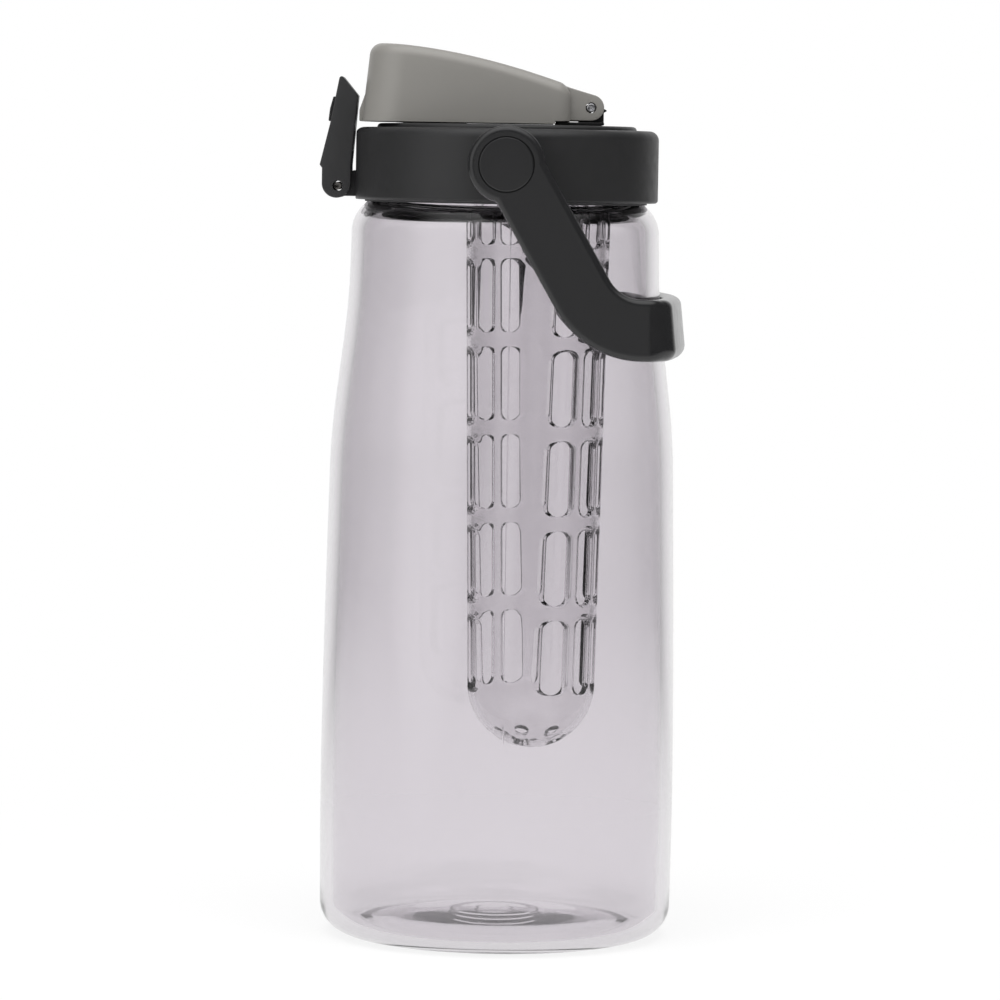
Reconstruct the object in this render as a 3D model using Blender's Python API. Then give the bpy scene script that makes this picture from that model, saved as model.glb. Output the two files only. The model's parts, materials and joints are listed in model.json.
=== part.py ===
"""Infuser jug of about two litres: a clear body with a screw lid, a flip cap over a spout,
a snap latch, a carry handle and a slotted infuser tube. Metres, +Z up, base centre at the origin.
The photographed side looks along +Y: the latch is at -X, the cap hinge and the grip are at +X."""

import math

import bmesh
import bpy
from mathutils import Matrix, Vector

# Clearances and working allowances
GAP = 0.0003
OVERRUN = 0.004
BITE = 0.0006
WELD = 0.000001

# Clear body: its side widens in steps from the neck down to the belly, then draws in to the base
NECK_RADIUS = 0.0424
BROW_STEP = 0.0066
THROAT_STEP = 0.00025
CHEST_STEP = 0.0056
BELLY_STEP = 0.00165
BASE_STEP = 0.0003
BASE_CORNER = 0.0098
BELLY_HEIGHT = 0.042
CHEST_RISE = 0.108
THROAT_RISE = 0.062
BROW_RISE = 0.012
SHOULDER_BEND = 0.012
SIDE_SLOPE_SHARES = (0.012, 0.0, -0.022, -0.022, 0.0)
WALL = 0.0040
FLOOR = 0.0026
INNER_CORNER = 0.0070

# Foot and punt under the body
FOOT_WIDTH = 0.0034
PUNT_LIP = 0.0022
PUNT_LIP_WIDTH = 0.0035
PUNT_HEIGHT = 0.0046
RING_RADIUS = 0.0140
RING_DEPTH = 0.0010
NUB_RADIUS = 0.0058
NUB_DROP = 0.0012
STEP_WIDTH = 0.0006

# Threaded neck
NECK_WALL = 0.0024
NECK_LENGTH = 0.0165
RIM_EASE = 0.0005
THREAD_DEPTH = 0.0012
THREAD_PITCH = 0.0040
THREAD_ROOT = 0.0022
THREAD_CREST = 0.0010
THREAD_START = 0.0055
THREAD_TURNS = 1.5
THREAD_FADE_SHARE = 0.12

# Sealing rings at the neck and the mouth
NECK_RING_WIDTH = 0.0022
NECK_RING_HEIGHT = 0.0028
MOUTH_GASKET_THICKNESS = 0.0017
MOUTH_GASKET_REACH = 0.0014

# Lid collar
THREAD_CLEARANCE = 0.0006
COLLAR_WALL = 0.0042
COLLAR_STAND = 0.0013
COLLAR_TOP_BEND = 0.0030
COLLAR_FOOT_BEND = 0.0010
LEDGE_THICKNESS = 0.0019
LEDGE_WIDTH = 0.0043
LATCH_FLAT_DEPTH = 0.0007
SKIRT_RELIEF_HEIGHT = 0.0043

# Lid deck, the raised disc with the plug and the infuser socket under it
DECK_MARGIN = 0.0071
DECK_THICKNESS = 0.0028
DECK_PROUD = 0.0013
DECK_BEND = 0.0013
PLUG_WALL = 0.0017
PLUG_REACH = 0.0012
SNAP_BITE = 0.0004
SNAP_HEIGHT = 0.0018
SOCKET_WALL = 0.0017
SOCKET_DEPTH = 0.0097
SOCKET_MARGIN = 0.0005
SPOUT_LAND = 0.0019

# Spout, its seal and the vent valve
SPOUT_INSET = 0.0168
SPOUT_BORE = 0.0072
SPOUT_WALL = 0.0016
SPOUT_RISE = 0.0135
SPOUT_DROP = 0.0027
SPOUT_FLANGE = 0.0022
SPOUT_FLANGE_THICKNESS = 0.0014
SPOUT_LIP_BEND = 0.0007
SEAL_OVERHANG = 0.0005
SEAL_THICKNESS = 0.0029
SEAL_PLUG_SLACK = 0.0008
SEAL_PLUG_TAPER = 0.0006
SEAL_PLUG_DEPTH = 0.0033
STUD_RADIUS = 0.0016
STUD_LENGTH = 0.0016
SEAL_BOSS_RADIUS = 0.0042
VENT_OFFSET_X = 0.0085
VENT_OFFSET_Y = 0.0160
VENT_CAP_RADIUS = 0.0032
VENT_CAP_THICKNESS = 0.0011
VENT_STEM_RADIUS = 0.0012
VENT_BARB_RADIUS = 0.0021
VENT_BARB_HEIGHT = 0.0012

# Flip cap
CAP_INSET = 0.0025
CAP_HALF_WIDTH = 0.0235
CAP_STAND = 0.0005
CAP_HEIGHT = 0.0246
CAP_DROP = 0.0150
CAP_FALL_SHARE = 1.8
CAP_LEAN = 0.0026
CAP_WALL = 0.0018
CAP_FRONT_CORNER = 0.0130
CAP_REAR_CORNER = 0.0042
CAP_TOP_BEND = 0.0036
CAP_TAIL = 0.0064
CAP_LIP = 0.0009
CAP_LIP_HALF_WIDTH = 0.0088
CAP_LIP_STRAIGHT = 0.0035
CAP_LIP_HEIGHT = 0.0100

# Cap hinge
HINGE_INSET = 0.0150
HINGE_RISE = 0.0057
HINGE_PIN_RADIUS = 0.0014
HINGE_PIN_PROUD = 0.0002
EAR_RADIUS = 0.0041
EAR_INNER = 0.0120
EAR_OUTER = 0.0200
EAR_ROOT = 0.0030
KNUCKLE_SLACK = 0.0005
KNUCKLE_RADIUS = 0.0036
BRACKET_PLATE = 0.0008
BRACKET_FRONT = 0.0110
BRACKET_BACK = 0.0042
BRACKET_SHOULDER = 0.0043
TOOTH_HEIGHT = 0.0012
TOOTH_REACH = 0.0013
CAP_NOTCH = 0.0009

# Snap latch
LATCH_PIN_OFFSET = 0.0050
LATCH_PIN_RISE = 0.0041
LATCH_PIN_RADIUS = 0.00125
LATCH_HOLE_RADIUS = 0.0016
LATCH_PIN_RECESS = 0.0008
LEVER_HALF_WIDTH = 0.0095
LEVER_FOOT_RADIUS = 0.0046
LEVER_FOOT_SHIFT = 0.0004
LEVER_FOOT_RISE = 0.0008
LEVER_CLEARANCE = 0.0005
LEVER_KNEE_RISE = 0.0067
LEVER_SHOULDER_RISE = 0.0287
LEVER_TIP_RISE = 0.0346
LEVER_TIP_RADIUS = 0.0008
LEVER_TIP_SHIFT = 0.0001
LEVER_BACK_OUT = 0.0026
LEVER_BACK_RISE = 0.0197
LEVER_LIP_OUT = 0.0058
LEVER_LIP_RISE = 0.0066
LEVER_LIP_TUCK = 0.0010
LEVER_CHANNEL_RISE = 0.0110
LEVER_SKIN = 0.0020
LEVER_OPEN_RISE = 0.0017
LEVER_EDGE = 0.0003
LUG_HALF_WIDTH = 0.0057
LUG_RADIUS = 0.0027
LUG_RISE = 0.0050
LUG_DROP = 0.0032
LUG_TOE = 0.0021
PAD_HALF_WIDTH = 0.0068
PAD_RECESS = 0.0008
PAD_THICKNESS = 0.0013
PAD_LOW_RISE = 0.0196
PAD_HIGH_RISE = 0.0282
PAD_BULGE = 0.0003

# Carry handle
PIVOT_RISE = 0.0117
BOSS_RADIUS = 0.0093
BOSS_REACH = 0.0016
HANDLE_THICKNESS = 0.0057
EYE_RADIUS = 0.0120
ARM_ANGLE = 60.0
ARM_HALF_WIDTH = 0.0096
ARM_OFFSET = 0.0017
ARM_STRAIGHT = 0.0443
ARM_BEND = 0.0258
GRIP_REST_GAP = 0.0006
GRIP_THICKNESS = 0.0056
GRIP_LEAN = 0.0016
GRIP_FOOT_BEND = 0.0040
GRIP_HEAD_BEND = 0.0020
GRIP_CORNER = 0.0130
HANDLE_EDGE = 0.0011
BUTTON_RADIUS = 0.00845
BUTTON_THICKNESS = 0.0024
BUTTON_STEM_RADIUS = 0.0045
BUTTON_EDGE = 0.0004
BUTTON_SKIN = 0.0014

# Infuser
INFUSER_SHOULDER = 0.0013
INFUSER_SHOULDER_DROP = 0.0010
INFUSER_SHOULDER_THICKNESS = 0.0012
INFUSER_TAPER = 0.0029
INFUSER_WALL = 0.0018
INFUSER_BOTTOM = 0.0595
INFUSER_GASKET_THICKNESS = 0.0014
INFUSER_GASKET_WIDTH = 0.0019
SLOT_WIDTH = 0.0061
SLOT_HEIGHT = 0.0237
SLOT_PITCH = 0.02835
SLOT_FIRST = 0.0187
SLOT_ROWS = 6
SLOT_COLUMNS = 4
SLOT_COLUMN_PITCH = 0.0091
PULL_ANGLE = 63.6
DRAIN_RADIUS = 0.0022
DRAIN_RING_RADIUS = 0.0093
DRAIN_COUNT = 5

# Angles in degrees: folds below the first are shaded smooth, above the second are rounded
SMOOTH_BELOW = 32.0
ROUND_ABOVE = 40.0

# Facets round a full turn
BODY_FACETS = 36
RING_FACETS = 20
SMALL_FACETS = 20
PIN_FACETS = 12
TUBE_FACETS = 24

# Places that follow from the sizes above
BROW_RADIUS = NECK_RADIUS + BROW_STEP
THROAT_RADIUS = BROW_RADIUS + THROAT_STEP
CHEST_RADIUS = THROAT_RADIUS + CHEST_STEP
BELLY_RADIUS = CHEST_RADIUS + BELLY_STEP
BASE_RADIUS = BELLY_RADIUS - BASE_STEP
CHEST_HEIGHT = BELLY_HEIGHT + CHEST_RISE
THROAT_HEIGHT = CHEST_HEIGHT + THROAT_RISE
BROW_HEIGHT = THROAT_HEIGHT + BROW_RISE
SHOULDER_AXIS = BROW_RADIUS - SHOULDER_BEND
NECK_BORE = NECK_RADIUS - NECK_WALL
NECK_RING_INNER = NECK_RADIUS + GAP
NECK_RING_OUTER = NECK_RING_INNER + NECK_RING_WIDTH
COLLAR_BORE = NECK_RADIUS + THREAD_DEPTH + THREAD_CLEARANCE
COLLAR_RADIUS = COLLAR_BORE + COLLAR_WALL
DECK_RADIUS = COLLAR_RADIUS - DECK_MARGIN
LEDGE_INNER = DECK_RADIUS - LEDGE_WIDTH


def shoulder_height(radius, bend=SHOULDER_BEND):
    """Height of the shoulder's arc over a radius, outside, or inside with the bend less the wall."""
    return BROW_HEIGHT + math.sqrt(bend ** 2 - (radius - SHOULDER_AXIS) ** 2)


NECK_ROOT = shoulder_height(NECK_RADIUS)
RIM_HEIGHT = NECK_ROOT + NECK_LENGTH
COLLAR_BOTTOM = shoulder_height(NECK_RING_OUTER) + COLLAR_STAND
GASKET_TOP = RIM_HEIGHT + GAP + MOUTH_GASKET_THICKNESS
LEDGE_BOTTOM = GASKET_TOP + GAP
LEDGE_TOP = LEDGE_BOTTOM + LEDGE_THICKNESS
DECK_BOTTOM = LEDGE_TOP + GAP
DECK_TOP = DECK_BOTTOM + DECK_THICKNESS
COLLAR_TOP = DECK_TOP - DECK_PROUD
PLUG_RADIUS = LEDGE_INNER - GAP
SPOUT_X = -(DECK_RADIUS - SPOUT_INSET)
SPOUT_HOLE = SPOUT_BORE + SPOUT_WALL + GAP
SPOUT_TOP = DECK_TOP + SPOUT_RISE
HINGE_X = DECK_RADIUS - HINGE_INSET
HINGE_Z = DECK_TOP + HINGE_RISE
CAP_BOTTOM = DECK_TOP + CAP_STAND
CAP_TOP = CAP_BOTTOM + CAP_HEIGHT
CAP_FRONT = -(COLLAR_RADIUS - CAP_INSET)
CAP_REAR = HINGE_X - CAP_TAIL
LATCH_X = -(COLLAR_RADIUS + LATCH_PIN_OFFSET)
LATCH_Z = COLLAR_BOTTOM + LATCH_PIN_RISE
PIVOT_Z = COLLAR_BOTTOM + PIVOT_RISE
BOSS_FACE = COLLAR_RADIUS + BOSS_REACH
HANDLE_INNER = BOSS_FACE + GAP
HANDLE_OUTER = HANDLE_INNER + HANDLE_THICKNESS
SOCKET_LEFT = SPOUT_X + SPOUT_HOLE + SPOUT_LAND
SOCKET_RIGHT = PLUG_RADIUS - PLUG_WALL - SOCKET_MARGIN
INFUSER_X = (SOCKET_LEFT + SOCKET_RIGHT) / 2
INFUSER_NECK = (SOCKET_RIGHT - SOCKET_LEFT) / 2 - SOCKET_WALL - GAP
INFUSER_RADIUS = INFUSER_NECK + INFUSER_SHOULDER
INFUSER_END_RADIUS = INFUSER_RADIUS - INFUSER_TAPER
SOCKET_BOTTOM = DECK_BOTTOM - SOCKET_DEPTH
INFUSER_SHOULDER_TOP = SOCKET_BOTTOM - INFUSER_SHOULDER_DROP
INFUSER_GASKET_TOP = DECK_BOTTOM - GAP
INFUSER_TOP = INFUSER_GASKET_TOP - INFUSER_GASKET_THICKNESS - GAP


# Points, meshes and modifiers

def arc(across, up, radius, start, end, steps):
    """Points on an arc about (across, up), its angles in degrees."""
    angles = [math.radians(start + (end - start) * i / steps) for i in range(steps + 1)]
    return [(across + radius * math.cos(angle), up + radius * math.sin(angle)) for angle in angles]


def circle(across, up, radius, facets):
    """Points of a full circle."""
    return arc(across, up, radius, 0, 360, facets)[:-1]


def side_point(start, end, share):
    """Radius and height a share of the way between two stations (height, radius, slope)."""
    low, first, first_slope = start
    high, last, last_slope = end
    span = high - low
    ease = share * share * (3 - 2 * share)
    leave = share * (1 - share) ** 2 * span * first_slope
    arrive = share * share * (share - 1) * span * last_slope
    return first + (last - first) * ease + leave + arrive, low + span * share


def side_stations(corner_height):
    """The body's side as stations (height, radius, slope)."""
    heights = (corner_height, BELLY_HEIGHT, CHEST_HEIGHT, THROAT_HEIGHT, BROW_HEIGHT)
    radii = (BASE_RADIUS, BELLY_RADIUS, CHEST_RADIUS, THROAT_RADIUS, BROW_RADIUS)
    return list(zip(heights, radii, SIDE_SLOPE_SHARES))


def side(corner_height, inset):
    """The side's points (radius, height) from the base corner up to the shoulder."""
    stations = side_stations(corner_height)
    points = []
    for start, end, steps in zip(stations, stations[1:], (1, 3, 6, 1)):
        points += [side_point(start, end, i / steps) for i in range(1, steps + 1)]
    return [(radius - inset, height) for radius, height in points]


def side_radius(height):
    """The body's outer radius at a height between the chest and the throat."""
    stations = side_stations(BASE_CORNER)
    share = (height - CHEST_HEIGHT) / THROAT_RISE
    return side_point(stations[2], stations[3], share)[0]


def piece_from(mesh, name):
    """An object from a bmesh, its faces pointing out and its round stretches smooth."""
    bmesh.ops.remove_doubles(mesh, verts=mesh.verts, dist=WELD)
    bmesh.ops.recalc_face_normals(mesh, faces=mesh.faces)
    data = bpy.data.meshes.new(name)
    mesh.to_mesh(data)
    mesh.free()
    data.shade_smooth()
    data.set_sharp_from_angle(angle=math.radians(SMOOTH_BELOW))
    piece = bpy.data.objects.new(name, data)
    bpy.context.collection.objects.link(piece)
    return piece


def turned(name, profile, facets, across=0):
    """A profile (radius, height) spun round an upright axis that stands across along X."""
    mesh = bmesh.new()
    dots = [mesh.verts.new((radius, 0, height)) for radius, height in profile]
    for start, end in zip(dots, dots[1:] + dots[:1]):
        if max(start.co.x, end.co.x) > WELD:
            mesh.edges.new((start, end))
    bmesh.ops.spin(
        mesh, geom=mesh.verts[:] + mesh.edges[:], cent=(0, 0, 0), axis=(0, 0, 1),
        angle=2 * math.pi, steps=facets, use_merge=True,
    )
    bmesh.ops.translate(mesh, verts=mesh.verts, vec=(across, 0, 0))
    return piece_from(mesh, name)


def extruded(name, outlines, low, high, along):
    """Flat outlines pushed from low to high along Y or Z, together in one mesh."""
    mesh = bmesh.new()
    for outline in outlines:
        if along == "Y":
            dots = [mesh.verts.new((x, low, z)) for x, z in outline]
            push = (0, high - low, 0)
        else:
            dots = [mesh.verts.new((x, y, low)) for x, y in outline]
            push = (0, 0, high - low)
        face = mesh.faces.new(dots)
        grown = bmesh.ops.extrude_face_region(mesh, geom=[face])["geom"]
        far = [item for item in grown if isinstance(item, bmesh.types.BMVert)]
        bmesh.ops.translate(mesh, verts=far, vec=push)
    return piece_from(mesh, name)


def rectangle(left, right, low, high):
    """The corners of an upright rectangle."""
    return [(left, low), (right, low), (right, high), (left, high)]


def empty(name, parent, place):
    """A marker on a joint's axis."""
    marker = bpy.data.objects.new(name, None)
    bpy.context.collection.objects.link(marker)
    marker.empty_display_size = RING_RADIUS
    hang(marker, parent, place)
    return marker


def hang(item, parent, place):
    """Stand an item at a point of the jug, under its parent."""
    item.parent = parent
    bpy.context.view_layer.update()
    stand = parent.matrix_world.translation if parent else Vector((0, 0, 0))
    item.location = Vector(place) - stand
    bpy.context.view_layer.update()


def settle(piece, parent, place, finish):
    """Give a piece that was drawn in the jug's frame its origin, parent and material."""
    piece.data.transform(Matrix.Translation(-Vector(place)))
    hang(piece, parent, place)
    piece.data.materials.append(finish)


def combine(target, tool, operation):
    """Cut or join with a guide shape that stays live and moves with its piece."""
    tool.hide_render = True
    tool.display_type = "WIRE"
    tool.parent = target
    tool.matrix_parent_inverse = target.matrix_world.inverted()
    step = target.modifiers.new(tool.name, "BOOLEAN")
    step.operation = operation
    step.object = tool


def rounded(piece, width, segments):
    """Round a piece's sharp edges."""
    step = piece.modifiers.new("edges", "BEVEL")
    step.width = width
    step.segments = segments
    step.limit_method = "ANGLE"
    step.angle_limit = math.radians(ROUND_ABOVE)


def material(name, colour, roughness, metallic=0.0, transmission=0.0):
    """A plain finish for one kind of material."""
    finish = bpy.data.materials.new(name)
    finish.use_nodes = True
    shader = finish.node_tree.nodes["Principled BSDF"]
    shader.inputs["Base Color"].default_value = (*colour, 1)
    shader.inputs["Roughness"].default_value = roughness
    shader.inputs["Metallic"].default_value = metallic
    shader.inputs["Transmission Weight"].default_value = transmission
    finish.diffuse_color = (*colour, 1)
    finish.roughness = roughness
    finish.metallic = metallic
    return finish


# Clear body

def underside():
    """The foot and punt, from the centre out to the foot's outer edge."""
    hollow = PUNT_HEIGHT + RING_DEPTH
    foot_outer = BASE_RADIUS - BASE_CORNER
    foot_inner = foot_outer - FOOT_WIDTH
    punt_radius = foot_inner - PUNT_LIP_WIDTH
    middle = [
        (0, hollow - NUB_DROP), (NUB_RADIUS - STEP_WIDTH, hollow - NUB_DROP), (NUB_RADIUS, hollow),
        (RING_RADIUS - STEP_WIDTH, hollow), (RING_RADIUS, PUNT_HEIGHT),
    ]
    dome = [
        (RING_RADIUS + (punt_radius - RING_RADIUS) * share,
         PUNT_HEIGHT + (PUNT_LIP - PUNT_HEIGHT) * share ** 2)
        for share in (0.35, 0.7, 1.0)
    ]
    return middle + dome + [(foot_inner, 0), (foot_outer, 0)]


def inner_floor():
    """The floor inside, from the side's inner corner in to the centre."""
    corner_axis = BASE_RADIUS - WALL - INNER_CORNER
    edge = PUNT_LIP + STEP_WIDTH * 2
    middle = PUNT_HEIGHT + RING_DEPTH + FLOOR
    corner = arc(corner_axis, edge + INNER_CORNER, INNER_CORNER, 0, -90, 4)
    dome = [(corner_axis * share, edge + (middle - edge) * (1 - share ** 2)) for share in (0.75, 0.45, 0)]
    return corner, dome


def bottle_body(finish, root):
    """Walls, shoulder and neck as one turned shell, with the thread joined on."""
    foot_axis = BASE_RADIUS - BASE_CORNER
    corner = arc(foot_axis, BASE_CORNER, BASE_CORNER, -90, 0, 5)[1:]
    outer_turn = math.degrees(math.acos((NECK_RADIUS - SHOULDER_AXIS) / SHOULDER_BEND))
    inner_bend = SHOULDER_BEND - WALL
    inner_turn = math.degrees(math.acos((NECK_BORE - SHOULDER_AXIS) / inner_bend))
    shoulder = arc(SHOULDER_AXIS, BROW_HEIGHT, SHOULDER_BEND, 0, outer_turn, 4)[1:]
    rim = [
        (NECK_RADIUS, RIM_HEIGHT - RIM_EASE), (NECK_RADIUS - RIM_EASE, RIM_HEIGHT),
        (NECK_BORE + RIM_EASE, RIM_HEIGHT), (NECK_BORE, RIM_HEIGHT - RIM_EASE),
    ]
    inside_shoulder = arc(SHOULDER_AXIS, BROW_HEIGHT, inner_bend, inner_turn, 0, 4)
    floor_corner, floor_dome = inner_floor()
    inside_wall = side(floor_corner[0][1], WALL)[:-1]
    profile = underside() + corner + side(BASE_CORNER, 0) + shoulder + rim
    profile += inside_shoulder + inside_wall[::-1] + floor_corner + floor_dome
    body = turned("bottle_body", profile, BODY_FACETS)
    settle(body, root, (0, 0, 0), finish)
    combine(body, neck_thread(), "UNION")


def neck_thread():
    """A ridge that climbs round the neck and fades into it at both ends."""
    mesh = bmesh.new()
    count = round(THREAD_TURNS * BODY_FACETS)
    rings = []
    for i in range(count + 1):
        share = i / count
        fade = min(1, share / THREAD_FADE_SHARE, (1 - share) / THREAD_FADE_SHARE)
        angle = 2 * math.pi * THREAD_TURNS * share
        height = NECK_ROOT + THREAD_START + THREAD_PITCH * THREAD_TURNS * share
        root = NECK_RADIUS - 2 * BITE
        crest = NECK_RADIUS - BITE + (THREAD_DEPTH + BITE) * fade
        section = (
            (root, -THREAD_ROOT / 2), (crest, -THREAD_CREST / 2),
            (crest, THREAD_CREST / 2), (root, THREAD_ROOT / 2),
        )
        rings.append([
            mesh.verts.new((radius * math.cos(angle), radius * math.sin(angle), height + rise))
            for radius, rise in section
        ])
    for near, far in zip(rings, rings[1:]):
        join_loops(mesh, near, far)
    mesh.faces.new(rings[0])
    mesh.faces.new(rings[-1])
    return piece_from(mesh, "thread_ridge")


def neck_ring(finish, root):
    """The dark ring between the collar and the shoulder, its foot sloped like the shoulder."""
    lift = GAP * 2
    top = NECK_ROOT + NECK_RING_HEIGHT
    profile = [
        (NECK_RING_INNER, shoulder_height(NECK_RING_INNER) + lift),
        (NECK_RING_OUTER, shoulder_height(NECK_RING_OUTER) + lift),
        (NECK_RING_OUTER, top), (NECK_RING_INNER, top),
    ]
    ring = turned("neck_ring", profile, BODY_FACETS)
    settle(ring, root, (0, 0, NECK_ROOT), finish)


# Lid

def mouth_gasket(finish, lid):
    """The flat ring between the rim of the neck and the collar's ledge."""
    inner = NECK_BORE - MOUTH_GASKET_REACH
    outer = COLLAR_BORE - THREAD_CLEARANCE
    profile = rectangle(inner, outer, RIM_HEIGHT + GAP, GASKET_TOP)
    gasket = turned("mouth_gasket", profile, BODY_FACETS)
    settle(gasket, lid, (0, 0, RIM_HEIGHT), finish)


def lid_collar(finish, lid):
    """The outer ring with its ledge, two handle bosses and the latch lug."""
    relief = NECK_RING_OUTER + GAP
    relief_top = COLLAR_BOTTOM + SKIRT_RELIEF_HEIGHT
    recess = DECK_RADIUS + GAP
    foot_bend, head_bend = COLLAR_FOOT_BEND, COLLAR_TOP_BEND
    foot = arc(COLLAR_RADIUS - foot_bend, COLLAR_BOTTOM + foot_bend, foot_bend, -90, 0, 2)
    head = arc(COLLAR_RADIUS - head_bend, COLLAR_TOP - head_bend, head_bend, 0, 90, 4)
    profile = foot + head + [
        (recess, COLLAR_TOP), (recess, LEDGE_TOP), (LEDGE_INNER, LEDGE_TOP), (LEDGE_INNER, LEDGE_BOTTOM),
        (COLLAR_BORE, LEDGE_BOTTOM), (COLLAR_BORE, relief_top), (relief, relief_top), (relief, COLLAR_BOTTOM),
    ]
    collar = turned("lid_collar", profile, BODY_FACETS)
    settle(collar, lid, (0, 0, COLLAR_BOTTOM), finish)
    boss = circle(0, PIVOT_Z, BOSS_RADIUS, SMALL_FACETS)
    socket = circle(0, PIVOT_Z, BUTTON_STEM_RADIUS + GAP, SMALL_FACETS)
    inner_end = COLLAR_BORE + BUTTON_SKIN
    for name, turn in (("near", -1), ("far", 1)):
        root = turn * (COLLAR_RADIUS - COLLAR_WALL / 2)
        low, high = sorted((root, turn * BOSS_FACE))
        combine(collar, extruded("boss_" + name, [boss], low, high, "Y"), "UNION")
    flat = rectangle(-COLLAR_RADIUS - OVERRUN, LATCH_FLAT_DEPTH - COLLAR_RADIUS,
                     COLLAR_BOTTOM - OVERRUN, COLLAR_TOP + OVERRUN)
    combine(collar, extruded("latch_flat", [flat], -LEVER_HALF_WIDTH, LEVER_HALF_WIDTH, "Y"), "DIFFERENCE")
    combine(collar, latch_lug(), "UNION")
    for name, turn in (("near", -1), ("far", 1)):
        low, high = sorted((turn * inner_end, turn * (BOSS_FACE + OVERRUN)))
        combine(collar, extruded("socket_" + name, [socket], low, high, "Y"), "DIFFERENCE")
    pin_hole = circle(LATCH_X, LATCH_Z, LATCH_HOLE_RADIUS, PIN_FACETS)
    reach = LUG_HALF_WIDTH + OVERRUN
    combine(collar, extruded("lug_hole", [pin_hole], -reach, reach, "Y"), "DIFFERENCE")


def latch_lug():
    """The lug that carries the latch pin, drawn from the side and rooted in the collar's wall."""
    root = -(COLLAR_RADIUS - COLLAR_WALL / 2)
    foot = LATCH_Z - LUG_DROP
    nose = arc(LATCH_X, LATCH_Z, LUG_RADIUS, 110, 270, 6)
    outline = nose + [(LATCH_X + LUG_TOE, foot), (root, foot), (root, LATCH_Z + LUG_RISE),
                      (-COLLAR_RADIUS, LATCH_Z + LUG_RISE)]
    return extruded("latch_lug", [outline], -LUG_HALF_WIDTH, LUG_HALF_WIDTH, "Y")


def lid_deck(finish, lid):
    """The raised disc, the snap-in plug under it and the infuser's socket."""
    edge = arc(DECK_RADIUS - DECK_BEND, DECK_TOP - DECK_BEND, DECK_BEND, 0, 90, 3)
    plug_inner = PLUG_RADIUS - PLUG_WALL
    plug_bottom = RIM_HEIGHT - PLUG_REACH
    snap_top = LEDGE_BOTTOM - GAP
    snap_bottom = snap_top - SNAP_HEIGHT
    profile = [(0, DECK_BOTTOM), (plug_inner, DECK_BOTTOM), (plug_inner, plug_bottom),
               (PLUG_RADIUS, plug_bottom), (PLUG_RADIUS, snap_bottom),
               (LEDGE_INNER + SNAP_BITE, snap_top), (PLUG_RADIUS, snap_top),
               (PLUG_RADIUS, DECK_BOTTOM), (DECK_RADIUS, DECK_BOTTOM)] + edge + [(0, DECK_TOP)]
    deck = turned("lid_deck", profile, BODY_FACETS)
    settle(deck, lid, (0, 0, DECK_TOP), finish)
    bore = INFUSER_NECK + GAP
    socket = rectangle(bore, bore + SOCKET_WALL, SOCKET_BOTTOM, DECK_BOTTOM + BITE)
    combine(deck, turned("infuser_socket", socket, TUBE_FACETS, INFUSER_X), "UNION")
    spout_hole = rectangle(0, SPOUT_HOLE, DECK_BOTTOM - OVERRUN, DECK_TOP + OVERRUN)
    combine(deck, turned("spout_hole", spout_hole, RING_FACETS, SPOUT_X), "DIFFERENCE")
    vent = circle(SPOUT_X + VENT_OFFSET_X, VENT_OFFSET_Y, VENT_STEM_RADIUS + GAP, PIN_FACETS)
    vent_hole = extruded("vent_hole", [vent], DECK_BOTTOM - OVERRUN, DECK_TOP + OVERRUN, "Z")
    combine(deck, vent_hole, "DIFFERENCE")


def spout(finish, lid):
    """The drinking spout, with a flange on the deck and a rolled lip."""
    outer = SPOUT_BORE + SPOUT_WALL
    flange = outer + SPOUT_FLANGE
    flange_low = DECK_TOP + GAP
    flange_top = flange_low + SPOUT_FLANGE_THICKNESS
    lip = arc(outer - SPOUT_LIP_BEND, SPOUT_TOP - SPOUT_LIP_BEND, SPOUT_LIP_BEND, 0, 180, 4)
    profile = [(SPOUT_BORE, DECK_BOTTOM - SPOUT_DROP), (outer, DECK_BOTTOM - SPOUT_DROP), (outer, flange_low),
               (flange, flange_low), (flange, flange_top), (outer, flange_top)]
    profile += lip + [(SPOUT_BORE, SPOUT_TOP - SPOUT_LIP_BEND)]
    tube = turned("spout", profile, RING_FACETS, SPOUT_X)
    settle(tube, lid, (SPOUT_X, 0, DECK_TOP), finish)


def vent_valve(finish, lid):
    """A soft mushroom valve in the deck that lets air in while pouring."""
    low = DECK_TOP + GAP
    barb_top = DECK_BOTTOM - GAP
    profile = [(0, barb_top - VENT_BARB_HEIGHT), (VENT_STEM_RADIUS, barb_top - VENT_BARB_HEIGHT),
               (VENT_BARB_RADIUS, barb_top), (VENT_STEM_RADIUS, barb_top), (VENT_STEM_RADIUS, low),
               (VENT_CAP_RADIUS, low), (VENT_CAP_RADIUS - VENT_CAP_THICKNESS, low + VENT_CAP_THICKNESS),
               (0, low + VENT_CAP_THICKNESS)]
    valve = turned("vent_valve", profile, PIN_FACETS)
    valve.data.transform(Matrix.Translation((SPOUT_X + VENT_OFFSET_X, VENT_OFFSET_Y, 0)))
    settle(valve, lid, (SPOUT_X + VENT_OFFSET_X, VENT_OFFSET_Y, DECK_TOP), finish)


# Cap hinge

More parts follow.
